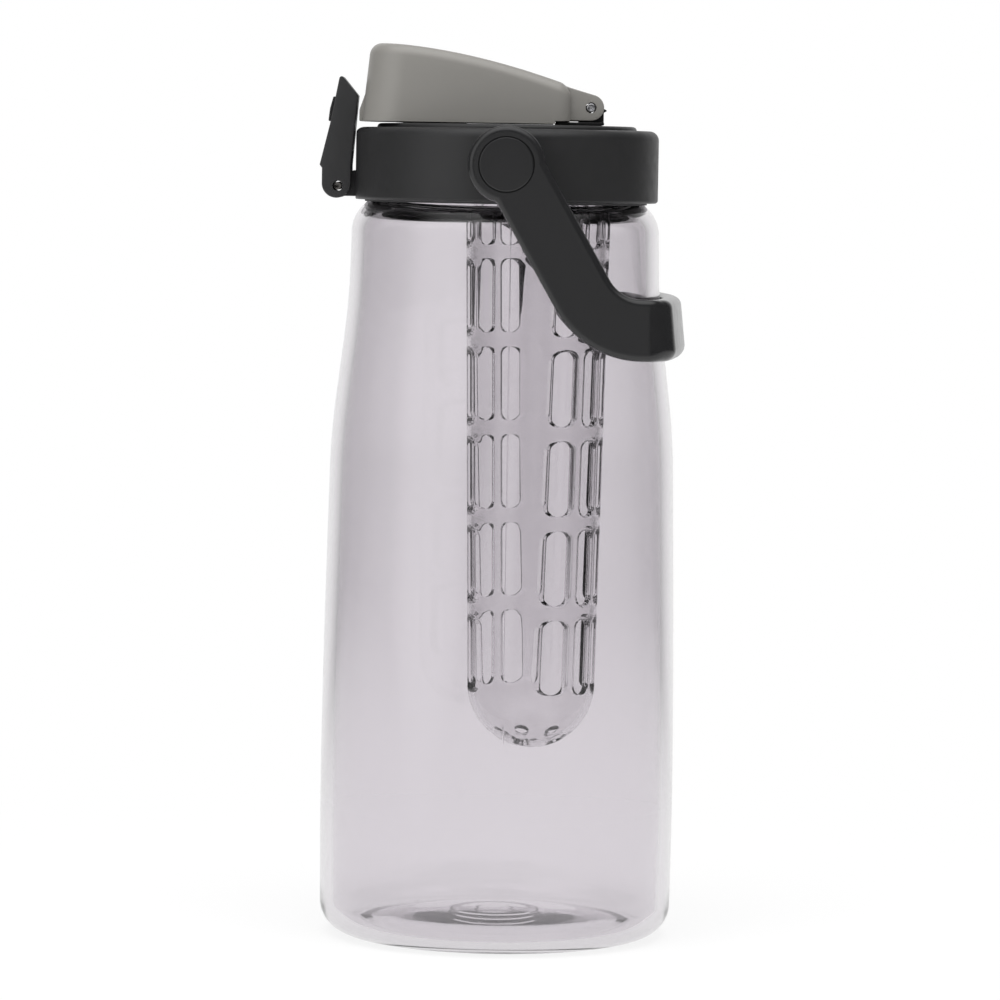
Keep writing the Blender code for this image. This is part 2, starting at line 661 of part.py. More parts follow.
def hinge_bracket(finish, lid):
    """A base plate on the deck with the knuckle that carries the cap's pin."""
    low = DECK_TOP + GAP
    top = low + BRACKET_PLATE
    half = EAR_INNER - KNUCKLE_SLACK
    plate = rectangle(HINGE_X - BRACKET_FRONT, HINGE_X + BRACKET_BACK, low, top)
    bracket = extruded("hinge_bracket", [plate], -EAR_OUTER, EAR_OUTER, "Y")
    settle(bracket, lid, (HINGE_X, 0, HINGE_Z), finish)
    back = HINGE_X + BRACKET_BACK
    shoulder = DECK_TOP + BRACKET_SHOULDER
    knuckle = [(HINGE_X - KNUCKLE_RADIUS, top - BITE), (back, top - BITE), (back, shoulder),
               (back + TOOTH_REACH, shoulder + TOOTH_HEIGHT / 2), (back, shoulder + TOOTH_HEIGHT)]
    knuckle += arc(HINGE_X, HINGE_Z, KNUCKLE_RADIUS, 30, 180, 8)
    combine(bracket, extruded("knuckle", [knuckle], -half, half, "Y"), "UNION")
    pin_hole = circle(HINGE_X, HINGE_Z, HINGE_PIN_RADIUS + GAP, PIN_FACETS)
    reach = half + OVERRUN
    combine(bracket, extruded("knuckle_hole", [pin_hole], -reach, reach, "Y"), "DIFFERENCE")


def cap_hinge_pin(finish, lid):
    """The steel pin through the ears and the knuckle."""
    reach = EAR_OUTER + HINGE_PIN_PROUD
    section = circle(HINGE_X, HINGE_Z, HINGE_PIN_RADIUS, PIN_FACETS)
    pin = extruded("cap_hinge_pin", [section], -reach, reach, "Y")
    settle(pin, lid, (HINGE_X, 0, HINGE_Z), finish)


# Flip cap

def cap_roof(across):
    """Height of the cap's top over a place along X: level at the nose, falling to the hinge."""
    run = HINGE_X - CAP_FRONT
    share = min(max((across - CAP_FRONT) / run, 0), 1)
    return CAP_TOP - CAP_DROP * share ** CAP_FALL_SHARE


def cap_half_outline(inset):
    """One side of the cap's plan outline, from the front corner's start to the rear corner's end."""
    front = CAP_FRONT + inset
    rear = CAP_REAR - inset
    half = CAP_HALF_WIDTH - inset
    front_bend = CAP_FRONT_CORNER - inset
    rear_bend = max(CAP_REAR_CORNER - inset, GAP)
    side_start = front + front_bend
    side_end = rear - rear_bend
    points = arc(side_start, half - front_bend, front_bend, 180, 90, 7)
    points += [(side_start + (side_end - side_start) * i / 8, half) for i in range(1, 8)]
    return points + arc(side_end, half - rear_bend, rear_bend, 90, 0, 4)


def leaned(x, y, z):
    """A point of the cap moved back by the nose's lean: most at the front and the top, none at the rear."""
    rise = (z - CAP_BOTTOM) / CAP_HEIGHT
    return x + CAP_LEAN * rise * (CAP_REAR - x) / (CAP_REAR - CAP_FRONT), y, z


def cap_rings(wall):
    """Rings of the cap's outer or inner skin, from the bottom edge up to the top's bend."""
    bend = CAP_TOP_BEND - wall
    rings = [[(x, y, CAP_BOTTOM) for x, y in cap_half_outline(wall)]]
    for angle in (0, 22.5, 45, 67.5, 90):
        inset = wall + bend * (1 - math.cos(math.radians(angle)))
        fall = wall + bend * (1 - math.sin(math.radians(angle)))
        rings.append([leaned(x, y, cap_roof(x) - fall) for x, y in cap_half_outline(inset)])
    return rings


def add_skin(mesh, rings):
    """One skin of the cap: its rings joined up the side and closed across the top."""
    loops = []
    for ring in rings:
        left = [mesh.verts.new(point) for point in ring]
        right = [mesh.verts.new((x, -y, z)) for x, y, z in reversed(ring)]
        loops.append(left + right)
    for low, high in zip(loops, loops[1:]):
        join_loops(mesh, low, high)
    top = loops[-1]
    for i in range(len(rings[-1]) - 1):
        mesh.faces.new((top[i], top[i + 1], top[-2 - i], top[-1 - i]))
    return loops[0]


def join_loops(mesh, first, second):
    """Faces between two closed loops of as many points."""
    for i in range(len(first)):
        j = (i + 1) % len(first)
        mesh.faces.new((first[i], first[j], second[j], second[i]))


def flip_cap(finish, hinge):
    """The hollow cap with its hinge ears, catch lip and the boss that holds the spout's seal."""
    mesh = bmesh.new()
    outer = add_skin(mesh, cap_rings(0))
    inner = add_skin(mesh, cap_rings(CAP_WALL))
    join_loops(mesh, outer, inner)
    cap = piece_from(mesh, "flip_cap")
    settle(cap, hinge, (HINGE_X, 0, HINGE_Z), finish)
    root = CAP_REAR - EAR_ROOT
    ear_top = [(root, cap_roof(root) - BITE), (CAP_REAR, cap_roof(CAP_REAR) - BITE)]
    ear = arc(HINGE_X, HINGE_Z, EAR_RADIUS, -90, 70, 9) + ear_top[::-1] + [(root, HINGE_Z - EAR_RADIUS)]
    for name, turn in (("near", -1), ("far", 1)):
        low, high = sorted((turn * EAR_INNER, turn * EAR_OUTER))
        combine(cap, extruded("ear_" + name, [ear], low, high, "Y"), "UNION")
    lip_back = CAP_FRONT + CAP_WALL - GAP
    lip_top = CAP_BOTTOM + CAP_LIP_HEIGHT
    lip_front = leaned(CAP_FRONT, 0, lip_top)[0] + GAP
    lip = [(CAP_FRONT - CAP_LIP, CAP_BOTTOM), (lip_back, CAP_BOTTOM), (lip_back, lip_top),
           (lip_front, lip_top), (CAP_FRONT - CAP_LIP, CAP_BOTTOM + CAP_LIP_STRAIGHT)]
    combine(cap, extruded("catch_lip", [lip], -CAP_LIP_HALF_WIDTH, CAP_LIP_HALF_WIDTH, "Y"), "UNION")
    combine(cap, seal_boss(), "UNION")
    pin_hole = circle(HINGE_X, HINGE_Z, HINGE_PIN_RADIUS + GAP, PIN_FACETS)
    reach = EAR_OUTER + OVERRUN
    combine(cap, extruded("ear_hole", [pin_hole], -reach, reach, "Y"), "DIFFERENCE")
    notch = rectangle(HINGE_X - BRACKET_FRONT - GAP, HINGE_X, CAP_BOTTOM - OVERRUN, CAP_BOTTOM + CAP_NOTCH)
    reach = CAP_HALF_WIDTH + OVERRUN
    combine(cap, extruded("plate_notch", [notch], -reach, reach, "Y"), "DIFFERENCE")


def seal_bottom():
    """Height of the seal's disc over the spout's lip."""
    return SPOUT_TOP + GAP


def seal_boss():
    """The boss and stud under the cap's roof that hold the seal."""
    seat = seal_bottom() + SEAL_THICKNESS + GAP
    roof = cap_roof(SPOUT_X) - CAP_WALL + BITE
    profile = [(0, seat - STUD_LENGTH), (STUD_RADIUS, seat - STUD_LENGTH), (STUD_RADIUS, seat),
               (SEAL_BOSS_RADIUS, seat), (SEAL_BOSS_RADIUS, roof), (0, roof)]
    return turned("seal_boss", profile, SMALL_FACETS, SPOUT_X)


def spout_seal(finish, hinge):
    """The soft stopper that closes the spout."""
    low = seal_bottom()
    top = low + SEAL_THICKNESS
    disc = SPOUT_BORE + SPOUT_WALL + SEAL_OVERHANG
    plug = SPOUT_BORE - SEAL_PLUG_SLACK
    hole = STUD_RADIUS + GAP
    hole_floor = top - STUD_LENGTH
    profile = [(0, low - SEAL_PLUG_DEPTH), (plug - SEAL_PLUG_TAPER, low - SEAL_PLUG_DEPTH), (plug, low),
               (disc, low), (disc, top), (hole, top), (hole, hole_floor), (0, hole_floor)]
    seal = turned("spout_seal", profile, SMALL_FACETS, SPOUT_X)
    settle(seal, hinge, (HINGE_X, 0, HINGE_Z), finish)


# Snap latch

def lever_back():
    """The lever's outer face from the tip's bend down to the pull lip."""
    back = (LATCH_X - LEVER_BACK_OUT, LATCH_Z + LEVER_BACK_RISE)
    lip = (LATCH_X - LEVER_LIP_OUT, LATCH_Z + LEVER_LIP_RISE)
    return [back, lip]


def lever_tip():
    """The middle of the bend at the lever's tip."""
    return LATCH_X + LEVER_TIP_SHIFT + LEVER_TIP_RADIUS, LATCH_Z + LEVER_TIP_RISE - LEVER_TIP_RADIUS


def latch_lever(finish, hinge):
    """The lever: two cheeks on the pin, a channel for the lug and a sloped top over the cap's nose."""
    foot_x = LATCH_X - LEVER_FOOT_SHIFT
    foot_z = LATCH_Z + LEVER_FOOT_RISE
    inner_top = CAP_FRONT - CAP_LIP - LEVER_CLEARANCE
    tip_x, tip_z = lever_tip()
    outline = arc(foot_x, foot_z, LEVER_FOOT_RADIUS, 180, 360, 12)
    outline += [(foot_x + LEVER_FOOT_RADIUS, LATCH_Z + LEVER_KNEE_RISE),
                (inner_top, LATCH_Z + LEVER_SHOULDER_RISE)]
    outline += arc(tip_x, tip_z, LEVER_TIP_RADIUS, 47, 168, 4)
    outline += lever_back()
    lip_tuck = (foot_x - LEVER_FOOT_RADIUS, LATCH_Z + LEVER_LIP_RISE - LEVER_LIP_TUCK)
    lever = extruded("latch_lever", [outline + [lip_tuck]], -LEVER_HALF_WIDTH, LEVER_HALF_WIDTH, "Y")
    settle(lever, hinge, (LATCH_X, 0, LATCH_Z), finish)
    rounded(lever, LEVER_EDGE, 1)
    channel_half = LUG_HALF_WIDTH + 2 * GAP
    channel_top = LATCH_Z + LEVER_CHANNEL_RISE
    skin = foot_x - LEVER_FOOT_RADIUS + LEVER_SKIN
    wall_end = LATCH_Z + LEVER_OPEN_RISE
    far_left = LATCH_X - LEVER_LIP_OUT - OVERRUN
    low = LATCH_Z - LEVER_FOOT_RADIUS - OVERRUN
    channel = [(far_left, low), (-COLLAR_BORE, low), (-COLLAR_BORE, channel_top), (skin, channel_top),
               (skin, wall_end), (far_left, wall_end)]
    combine(lever, extruded("channel", [channel], -channel_half, channel_half, "Y"), "DIFFERENCE")
    pin_hole = circle(LATCH_X, LATCH_Z, LATCH_HOLE_RADIUS, PIN_FACETS)
    reach = LEVER_HALF_WIDTH + OVERRUN
    combine(lever, extruded("lever_hole", [pin_hole], -reach, reach, "Y"), "DIFFERENCE")
    recess_half = PAD_HALF_WIDTH + GAP
    recess = pad_outline(-PAD_RECESS, OVERRUN, GAP)
    combine(lever, extruded("pad_recess", [recess], -recess_half, recess_half, "Y"), "DIFFERENCE")


def face_place(rise):
    """The lever's outer face at a rise over the pin, on the line from the tip's bend to the back."""
    tip_x, tip_z = lever_tip()
    top = (tip_x - LEVER_TIP_RADIUS, tip_z)
    low = lever_back()[0]
    share = (LATCH_Z + rise - low[1]) / (top[1] - low[1])
    return low[0] + (top[0] - low[0]) * share


def pad_outline(depth, proud, grow):
    """The pad's side outline, from a depth under the lever's face to a height proud of it."""
    low = PAD_LOW_RISE + LEVER_TIP_RADIUS - grow
    high = PAD_HIGH_RISE + grow
    middle = (low + high) / 2
    return [
        (face_place(low) - depth, LATCH_Z + low), (face_place(high) - depth, LATCH_Z + high),
        (face_place(high) - proud, LATCH_Z + high),
        (face_place(middle) - proud - PAD_BULGE, LATCH_Z + middle),
        (face_place(low) - proud, LATCH_Z + low),
    ]


def latch_pad(finish, hinge):
    """The thumb pad let into the lever's outer face."""
    seat = GAP - PAD_RECESS
    outline = pad_outline(seat, seat + PAD_THICKNESS, 0)
    pad = extruded("latch_pad", [outline], -PAD_HALF_WIDTH, PAD_HALF_WIDTH, "Y")
    settle(pad, hinge, (LATCH_X, 0, LATCH_Z), finish)


def latch_pin(finish, lid):
    """The steel pin in the lug, set back inside the lever's cheeks."""
    reach = LEVER_HALF_WIDTH - LATCH_PIN_RECESS
    section = circle(LATCH_X, LATCH_Z, LATCH_PIN_RADIUS, PIN_FACETS)
    pin = extruded("latch_pin", [section], -reach, reach, "Y")
    settle(pin, lid, (LATCH_X, 0, LATCH_Z), finish)


# Carry handle

def arm_frame():
    """The arm's direction, its upper normal and the centre of its bend."""
    slope = math.radians(ARM_ANGLE)
    along = Vector((math.cos(slope), -math.sin(slope)))
    normal = Vector((math.sin(slope), math.cos(slope)))
    bend = Vector((0, PIVOT_Z)) + normal * (ARM_OFFSET + ARM_BEND) + along * ARM_STRAIGHT
    return along, normal, bend


def grip_inner():
    """The grip's inner face: it rests against the clear body just short of touching."""
    bend = arm_frame()[2]
    return side_radius(bend.y - ARM_BEND - ARM_HALF_WIDTH) + GRIP_REST_GAP


def handle_side_outline():
    """The handle from the side: the eye, the slanting arm, its bend and the grip's end."""
    bend = arm_frame()[2]
    grip_outer = grip_inner() + GRIP_THICKNESS
    upper = ARM_OFFSET + ARM_HALF_WIDTH
    lower = ARM_HALF_WIDTH - ARM_OFFSET
    rise = 90 - ARM_ANGLE
    first = rise - math.degrees(math.acos(upper / EYE_RADIUS))
    last = 180 + rise + math.degrees(math.acos(lower / EYE_RADIUS))
    foot = bend.y - ARM_BEND - ARM_HALF_WIDTH
    head = bend.y - ARM_BEND + ARM_HALF_WIDTH
    outline = arc(0, PIVOT_Z, EYE_RADIUS, first, last, 20)
    outline += arc(bend.x, bend.y, ARM_BEND + ARM_HALF_WIDTH, 180 + rise, 270, 8)
    outline += arc(grip_outer - GRIP_FOOT_BEND, foot + GRIP_FOOT_BEND, GRIP_FOOT_BEND, -90, 0, 4)
    outline += arc(grip_outer - GRIP_LEAN - GRIP_HEAD_BEND, head - GRIP_HEAD_BEND, GRIP_HEAD_BEND, 0, 90, 3)
    return outline + arc(bend.x, bend.y, ARM_BEND - ARM_HALF_WIDTH, 270, 180 + rise, 6)


def handle_plan_outline():
    """The handle from above: two arms joined by the grip, with round corners."""
    inner = grip_inner()
    outer = inner + GRIP_THICKNESS
    back = -EYE_RADIUS - OVERRUN
    outer_axis = (outer - GRIP_CORNER, HANDLE_OUTER - GRIP_CORNER)
    inner_bend = GRIP_CORNER - GRIP_THICKNESS
    inner_axis = (inner - inner_bend, HANDLE_INNER - inner_bend)
    outside = [(back, -HANDLE_OUTER)]
    outside += arc(outer_axis[0], -outer_axis[1], GRIP_CORNER, -90, 0, 7)
    outside += arc(outer_axis[0], outer_axis[1], GRIP_CORNER, 0, 90, 7)
    outside += [(back, HANDLE_OUTER), (back, HANDLE_INNER)]
    inside = arc(inner_axis[0], inner_axis[1], inner_bend, 90, 0, 6)
    inside += arc(inner_axis[0], -inner_axis[1], inner_bend, 0, -90, 6)
    return outside + inside + [(back, -HANDLE_INNER)]


def carry_handle(finish, pivot):
    """The handle, from its side outline cut by its plan outline, with an eye at each end."""
    reach = HANDLE_OUTER + OVERRUN
    handle = extruded("carry_handle", [handle_side_outline()], -reach, reach, "Y")
    settle(handle, pivot, (0, 0, PIVOT_Z), finish)
    floor = arm_frame()[2].y - ARM_BEND - ARM_HALF_WIDTH - OVERRUN
    plan = extruded("handle_plan", [handle_plan_outline()], floor, PIVOT_Z + EYE_RADIUS + OVERRUN, "Z")
    combine(handle, plan, "INTERSECT")
    rounded(handle, HANDLE_EDGE, 2)
    stem_hole = circle(0, PIVOT_Z, BUTTON_STEM_RADIUS + GAP, SMALL_FACETS)
    combine(handle, extruded("eye_bore", [stem_hole], -reach, reach, "Y"), "DIFFERENCE")
    head_hole = circle(0, PIVOT_Z, BUTTON_RADIUS + GAP, RING_FACETS)
    seat = HANDLE_OUTER - BUTTON_THICKNESS - GAP
    for name, turn in (("near", -1), ("far", 1)):
        low, high = sorted((turn * seat, turn * reach))
        combine(handle, extruded("eye_seat_" + name, [head_hole], low, high, "Y"), "DIFFERENCE")


def pivot_button(name, turn, finish, lid):
    """The round button that holds one end of the handle to its boss on the collar."""
    head_low = HANDLE_OUTER - BUTTON_THICKNESS
    profile = [(0, COLLAR_BORE + BUTTON_SKIN + GAP), (BUTTON_STEM_RADIUS, COLLAR_BORE + BUTTON_SKIN + GAP),
               (BUTTON_STEM_RADIUS, head_low), (BUTTON_RADIUS, head_low),
               (BUTTON_RADIUS, HANDLE_OUTER - BUTTON_EDGE), (BUTTON_RADIUS - BUTTON_EDGE, HANDLE_OUTER),
               (0, HANDLE_OUTER)]
    button = turned(name, profile, RING_FACETS)
    button.data.materials.append(finish)
    hang(button, lid, (0, 0, PIVOT_Z))
    button.rotation_euler = (-turn * math.pi / 2, 0, 0)


# Infuser

def slot_outlines():
    """Slot shapes across the pull direction: upright stadiums in rows and columns."""
    outlines = []
    bend = SLOT_WIDTH / 2
    for row in range(SLOT_ROWS):
        low = INFUSER_BOTTOM + SLOT_FIRST + SLOT_PITCH * row
        for column in range(SLOT_COLUMNS):
            middle = SLOT_COLUMN_PITCH * (column - (SLOT_COLUMNS - 1) / 2)
            top_bend = arc(middle, low + SLOT_HEIGHT - bend, bend, 0, 180, 4)
            low_bend = arc(middle, low + bend, bend, 180, 360, 4)
            outlines.append(top_bend + low_bend)
    return outlines


def infuser_tube(finish, axis):
    """A tapered tube with a neck for its socket, a round end, slots cut along its pull, and drains."""
    dome_axis = INFUSER_BOTTOM + INFUSER_END_RADIUS
    inner_end = INFUSER_END_RADIUS - INFUSER_WALL
    neck_inner = INFUSER_NECK - INFUSER_WALL
    step = INFUSER_SHOULDER_TOP - INFUSER_SHOULDER_THICKNESS
    outside = arc(0, dome_axis, INFUSER_END_RADIUS, -90, 0, 6)
    outside += [(INFUSER_RADIUS, INFUSER_SHOULDER_TOP), (INFUSER_NECK, INFUSER_SHOULDER_TOP),
                (INFUSER_NECK, INFUSER_TOP)]
    inside = [(neck_inner, INFUSER_TOP), (neck_inner, step), (INFUSER_RADIUS - INFUSER_WALL, step)]
    inside += arc(0, dome_axis, inner_end, 0, -90, 6)
    outside[0] = (0, INFUSER_BOTTOM)
    inside[-1] = (0, INFUSER_BOTTOM + INFUSER_WALL)
    tube = turned("infuser_tube", outside + inside, TUBE_FACETS, INFUSER_X)
    settle(tube, axis, (INFUSER_X, 0, INFUSER_TOP), finish)
    reach = INFUSER_RADIUS + OVERRUN
    slots = extruded("slots", slot_outlines(), -reach, reach, "Y")
    slots.rotation_euler = (0, 0, math.radians(PULL_ANGLE))
    slots.location = (INFUSER_X, 0, 0)
    bpy.context.view_layer.update()
    combine(tube, slots, "DIFFERENCE")
    drains = [circle(INFUSER_X, 0, DRAIN_RADIUS, PIN_FACETS)]
    for x, y in arc(INFUSER_X, 0, DRAIN_RING_RADIUS, 180, 540, DRAIN_COUNT)[:-1]:
        drains.append(circle(x, y, DRAIN_RADIUS, PIN_FACETS))
    cutter = extruded("drains", drains, INFUSER_BOTTOM - OVERRUN, dome_axis, "Z")
    combine(tube, cutter, "DIFFERENCE")


def infuser_gasket(finish, axis):
    """The soft ring between the tube's rim and the deck, in the socket."""
    inner = INFUSER_NECK - INFUSER_GASKET_WIDTH
    low = INFUSER_GASKET_TOP - INFUSER_GASKET_THICKNESS
    profile = rectangle(inner, INFUSER_NECK, low, INFUSER_GASKET_TOP)
    gasket = turned("infuser_gasket", profile, TUBE_FACETS, INFUSER_X)
    settle(gasket, axis, (INFUSER_X, 0, INFUSER_TOP), finish)


def build():
    """The whole jug, piece by piece."""
    for item in list(bpy.data.objects):
        bpy.data.objects.remove(item, do_unlink=True)
    clear = material("clear_plastic", (0.78, 0.76, 0.80), 0.05, transmission=0.9)
    dark = material("dark_plastic", (0.035, 0.035, 0.037), 0.35)
    black = material("black_plastic", (0.010, 0.010, 0.011), 0.45)
    grey = material("grey_plastic", (0.22, 0.22, 0.20), 0.40)
    soft = material("silicone", (0.10, 0.10, 0.105), 0.70)
    steel = material("steel", (0.60, 0.60, 0.62), 0.25, metallic=1.0)
    root = empty("jug_base", None, (0, 0, 0))
    lid = empty("lid_seat", root, (0, 0, RIM_HEIGHT))
    cap_axis = empty("cap_axis", lid, (HINGE_X, 0, HINGE_Z))
    latch_axis = empty("latch_axis", lid, (LATCH_X, 0, LATCH_Z))
    handle_axis = empty("handle_axis", lid, (0, 0, PIVOT_Z))
    infuser_axis = empty("infuser_axis", lid, (INFUSER_X, 0, INFUSER_TOP))
    bottle_body(clear, root)
    neck_ring(soft, root)
    mouth_gasket(soft, lid)
    lid_collar(dark, lid)
    lid_deck(dark, lid)
    spout(grey, lid)
    vent_valve(soft, lid)
    hinge_bracket(black, lid)
    cap_hinge_pin(steel, lid)
    flip_cap(grey, cap_axis)
    spout_seal(soft, cap_axis)
    latch_lever(dark, latch_axis)
    latch_pad(black, latch_axis)
    latch_pin(steel, lid)
    carry_handle(dark, handle_axis)
    pivot_button("pivot_button_near", -1, dark, lid)
    pivot_button("pivot_button_far", 1, dark, lid)
    infuser_tube(clear, infuser_axis)
    infuser_gasket(soft, infuser_axis)


build()
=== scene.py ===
import json
import math
import bmesh
import bpy
import numpy as np
from mathutils import Matrix, Vector

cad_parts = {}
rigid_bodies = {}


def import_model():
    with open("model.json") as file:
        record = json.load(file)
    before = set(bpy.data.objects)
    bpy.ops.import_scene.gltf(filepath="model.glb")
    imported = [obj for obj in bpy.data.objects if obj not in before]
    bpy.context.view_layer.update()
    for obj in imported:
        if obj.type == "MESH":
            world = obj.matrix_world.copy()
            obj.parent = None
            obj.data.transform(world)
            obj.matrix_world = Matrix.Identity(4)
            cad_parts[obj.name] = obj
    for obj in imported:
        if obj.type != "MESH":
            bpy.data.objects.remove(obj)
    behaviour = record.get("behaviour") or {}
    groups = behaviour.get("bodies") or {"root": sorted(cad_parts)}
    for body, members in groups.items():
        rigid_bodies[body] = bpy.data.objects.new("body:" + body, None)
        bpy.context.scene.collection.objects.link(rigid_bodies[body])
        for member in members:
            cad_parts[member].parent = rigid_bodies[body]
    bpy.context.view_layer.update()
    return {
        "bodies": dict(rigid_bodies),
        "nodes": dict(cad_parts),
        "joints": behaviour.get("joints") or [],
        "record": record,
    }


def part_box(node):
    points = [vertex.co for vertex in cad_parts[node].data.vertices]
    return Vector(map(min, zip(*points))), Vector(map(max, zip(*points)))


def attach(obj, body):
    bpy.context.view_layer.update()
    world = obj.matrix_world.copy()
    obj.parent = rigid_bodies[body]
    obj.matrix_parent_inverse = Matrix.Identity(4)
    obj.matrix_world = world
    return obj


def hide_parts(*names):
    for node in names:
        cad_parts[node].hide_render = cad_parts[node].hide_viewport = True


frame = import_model()
print("frame loaded")


# Outlines

# Below the first a length is nothing, closer than the second two points are one, no turn is under the third.
nothing = 1e-9
together = 1e-7
leastTurn = 1e-6


# Points at equal angles from start to end, a radius away from (across, up).
def arc(across, up, radius, start, end, steps):
    angles = np.radians(np.linspace(start, end, steps + 1))
    return np.column_stack((across + radius * np.cos(angles), up + radius * np.sin(angles)))


# Points all round a circle.
def disc(across, up, radius, facets=48):
    return arc(across, up, radius, 0, 360, facets)[:-1]


# Vectors divided by their own lengths.
def unit(vectors):
    return vectors / np.maximum(np.linalg.norm(vectors, axis=-1, keepdims=True), nothing)


# Each corner (across, up, bend) gives way to an arc that touches both of its sides.
def softened(corners, steps=6):
    corners = np.array(corners, float)
    spots = corners[:, :2]
    bends = corners[:, 2:]
    back = unit(np.roll(spots, 1, 0) - spots)
    ahead = unit(np.roll(spots, -1, 0) - spots)
    half = np.arccos(np.clip((back * ahead).sum(1, keepdims=True), -1, 1)) / 2
    centres = spots + unit(back + ahead) * bends / np.maximum(np.sin(half), nothing)
    reach = bends / np.maximum(np.tan(half), nothing)
    first = spots + back * reach - centres
    last = spots + ahead * reach - centres
    turn = np.maximum(math.pi - 2 * half, leastTurn)[:, None]
    share = np.linspace(0, 1, steps + 1)[None, :, None]
    swept = np.sin((1 - share) * turn) * first[:, None] + np.sin(share * turn) * last[:, None]
    return cleaned((centres[:, None] + swept / np.sin(turn)).reshape(-1, 2))


# Points that repeat the one before are left out.
def cleaned(outline):
    steps = np.linalg.norm(outline - np.roll(outline, 1, 0), axis=1)
    return outline[steps > together]


# The corners of a rectangle, each with the same bend.
def rectangle(left, right, low, high, bend=0.0):
    return [(left, low, bend), (right, low, bend), (right, high, bend), (left, high, bend)]


# Meshes

# Four-sided faces over a net of points whose columns close on themselves.
def quads(rows, columns, closed):
    row = np.arange(rows if closed else rows - 1)[:, None]
    column = np.arange(columns)[None, :]
    above = (row + 1) % rows * columns
    beside = (column + 1) % columns
    corners = (row * columns + column, row * columns + beside, above + beside, above + column)
    return np.stack(np.broadcast_arrays(*corners), -1).reshape(-1, 4)


# Round stretches are shaded smooth and folds sharper than the angle stay crisp.
def shaded(piece, angle=30):
    piece.data.shade_smooth()
    piece.data.set_sharp_from_angle(angle=math.radians(angle))
    return piece


# A closed piece from points and faces: doubled points merge and every face looks out.
def solid(name, points, faces, angle=30):
    data = bpy.data.meshes.new(name)
    data.from_pydata(np.asarray(points).reshape(-1, 3).tolist(), [], faces)
    mesh = bmesh.new()
    mesh.from_mesh(data)
    bmesh.ops.remove_doubles(mesh, verts=mesh.verts, dist=together)
    bmesh.ops.delete(mesh, geom=[edge for edge in mesh.edges if not edge.link_faces], context="EDGES")
    bmesh.ops.recalc_face_normals(mesh, faces=mesh.faces)
    mesh.to_mesh(data)
    mesh.free()
    piece = bpy.data.objects.new(name, data)
    bpy.context.collection.objects.link(piece)
    return shaded(piece, angle)


# Radius and height turn about an upright axis: across is the radius times the angle's cosine.
def turned(name, outline, facets=192, middle=0.0):
    outline = cleaned(np.array(outline, float)[:, :2])
    angles = np.linspace(0, 2 * math.pi, facets, endpoint=False)
    radius = outline[:, :1]
    heights = outline[:, 1:] + 0 * angles
    points = np.stack((middle + radius * np.cos(angles), radius * np.sin(angles), heights), -1)
    onAxis = outline[0, 0] == 0 and outline[-1, 0] == 0
    return solid(name, points, quads(len(outline), facets, not onAxis).tolist())


# A turned piece laid along Y, its axis through (across, height).
def laid(piece, across, height, turn=1):
    piece.data.transform(Matrix.Rotation(-turn * math.pi / 2, 4, "X"))
    piece.data.transform(Matrix.Translation((across, 0, height)))
    return piece


# A pin along Y with both ends alike, each corner of an end (radius, distance off the middle, bend).
def pinned(name, end, facets, across, height):
    outline = softened([(radius, -reach, bend) for radius, reach, bend in end] + end[::-1])
    return laid(turned(name, outline, facets), across, height)


# An outline pushed from low to high, its rim rounded by rings that draw in by the bend times one less a sine.
# Each point draws in along its corner's middle, further at a sharp corner, up to one over the mitre.
def slab(name, outline, low, high, bend=0.0, along="Y", steps=4, mitre=0.5):
    outline = cleaned(np.array(outline, float)[:, :2])
    after = unit(np.roll(outline, -1, 0) - outline)
    before = unit(outline - np.roll(outline, 1, 0))
    way = unit(after + before)
    area = (outline[:, 0] * np.roll(outline[:, 1], -1) - outline[:, 1] * np.roll(outline[:, 0], -1)).sum()
    inward = np.column_stack((-way[:, 1], way[:, 0])) * np.sign(area)
    inward = inward / np.maximum((way * after).sum(1, keepdims=True), mitre)
    angles = np.radians(np.linspace(0, 90, steps + 1)) if bend else np.array([math.pi / 2])
    inset = bend * (1 - np.sin(angles))
    rise = bend * (1 - np.cos(angles)) if bend else np.array([0.0])
    insets = np.concatenate((inset, inset[::-1]))[:, None, None]
    places = np.concatenate((low + rise, (high - rise)[::-1]))
    rings = outline[None] + inward[None] * insets
    depth = places[:, None] + 0 * rings[:, :, 0]
    across, up = rings[:, :, 0], rings[:, :, 1]
    order = (across, depth, up) if along == "Y" else (across, up, depth)
    count = len(outline)
    faces = quads(len(places), count, False).tolist()
    last = (len(places) - 1) * count
    faces += [list(range(count)), list(range(last, last + count))]
    return solid(name, np.stack(order, -1), faces)


# The piece as its modifiers leave it.
def settled(piece, angle=30):
    bpy.context.view_layer.update()
    seen = piece.evaluated_get(bpy.context.evaluated_depsgraph_get())
    fresh = bpy.data.meshes.new_from_object(seen)
    piece.modifiers.clear()
    piece.data = fresh
    return shaded(piece, angle)


# One closed shape joined to, cut from or crossed with another.
def combined(piece, tool, operation):
    step = piece.modifiers.new("step", "BOOLEAN")
    step.operation = operation
    step.solver = "EXACT"
    step.object = tool
    settled(piece)
    bpy.data.objects.remove(tool)
    return piece


# A round hole along Y, its two ends a half length from the middle.
def bored(piece, across, height, radius, half):
    return combined(piece, slab("hole", disc(across, height, radius), -half, half), "DIFFERENCE")


# An outline joined or cut at both sides, from the inner to the outer distance off the middle.
def bothSides(piece, outline, inner, outer, operation, bend=0.0):
    for turn in (-1, 1):
        ends = sorted((turn * inner, turn * outer))
        combined(piece, slab("side", outline, *ends, bend), operation)


# Finishes

# A node's inputs filled; each is a number, a colour or another node's output.
def fed(tree, node, inputs):
    for socket, value in inputs.items():
        if isinstance(value, bpy.types.NodeSocket):
            tree.links.new(value, node.inputs[socket])
        else:
            node.inputs[socket].default_value = value
    return node


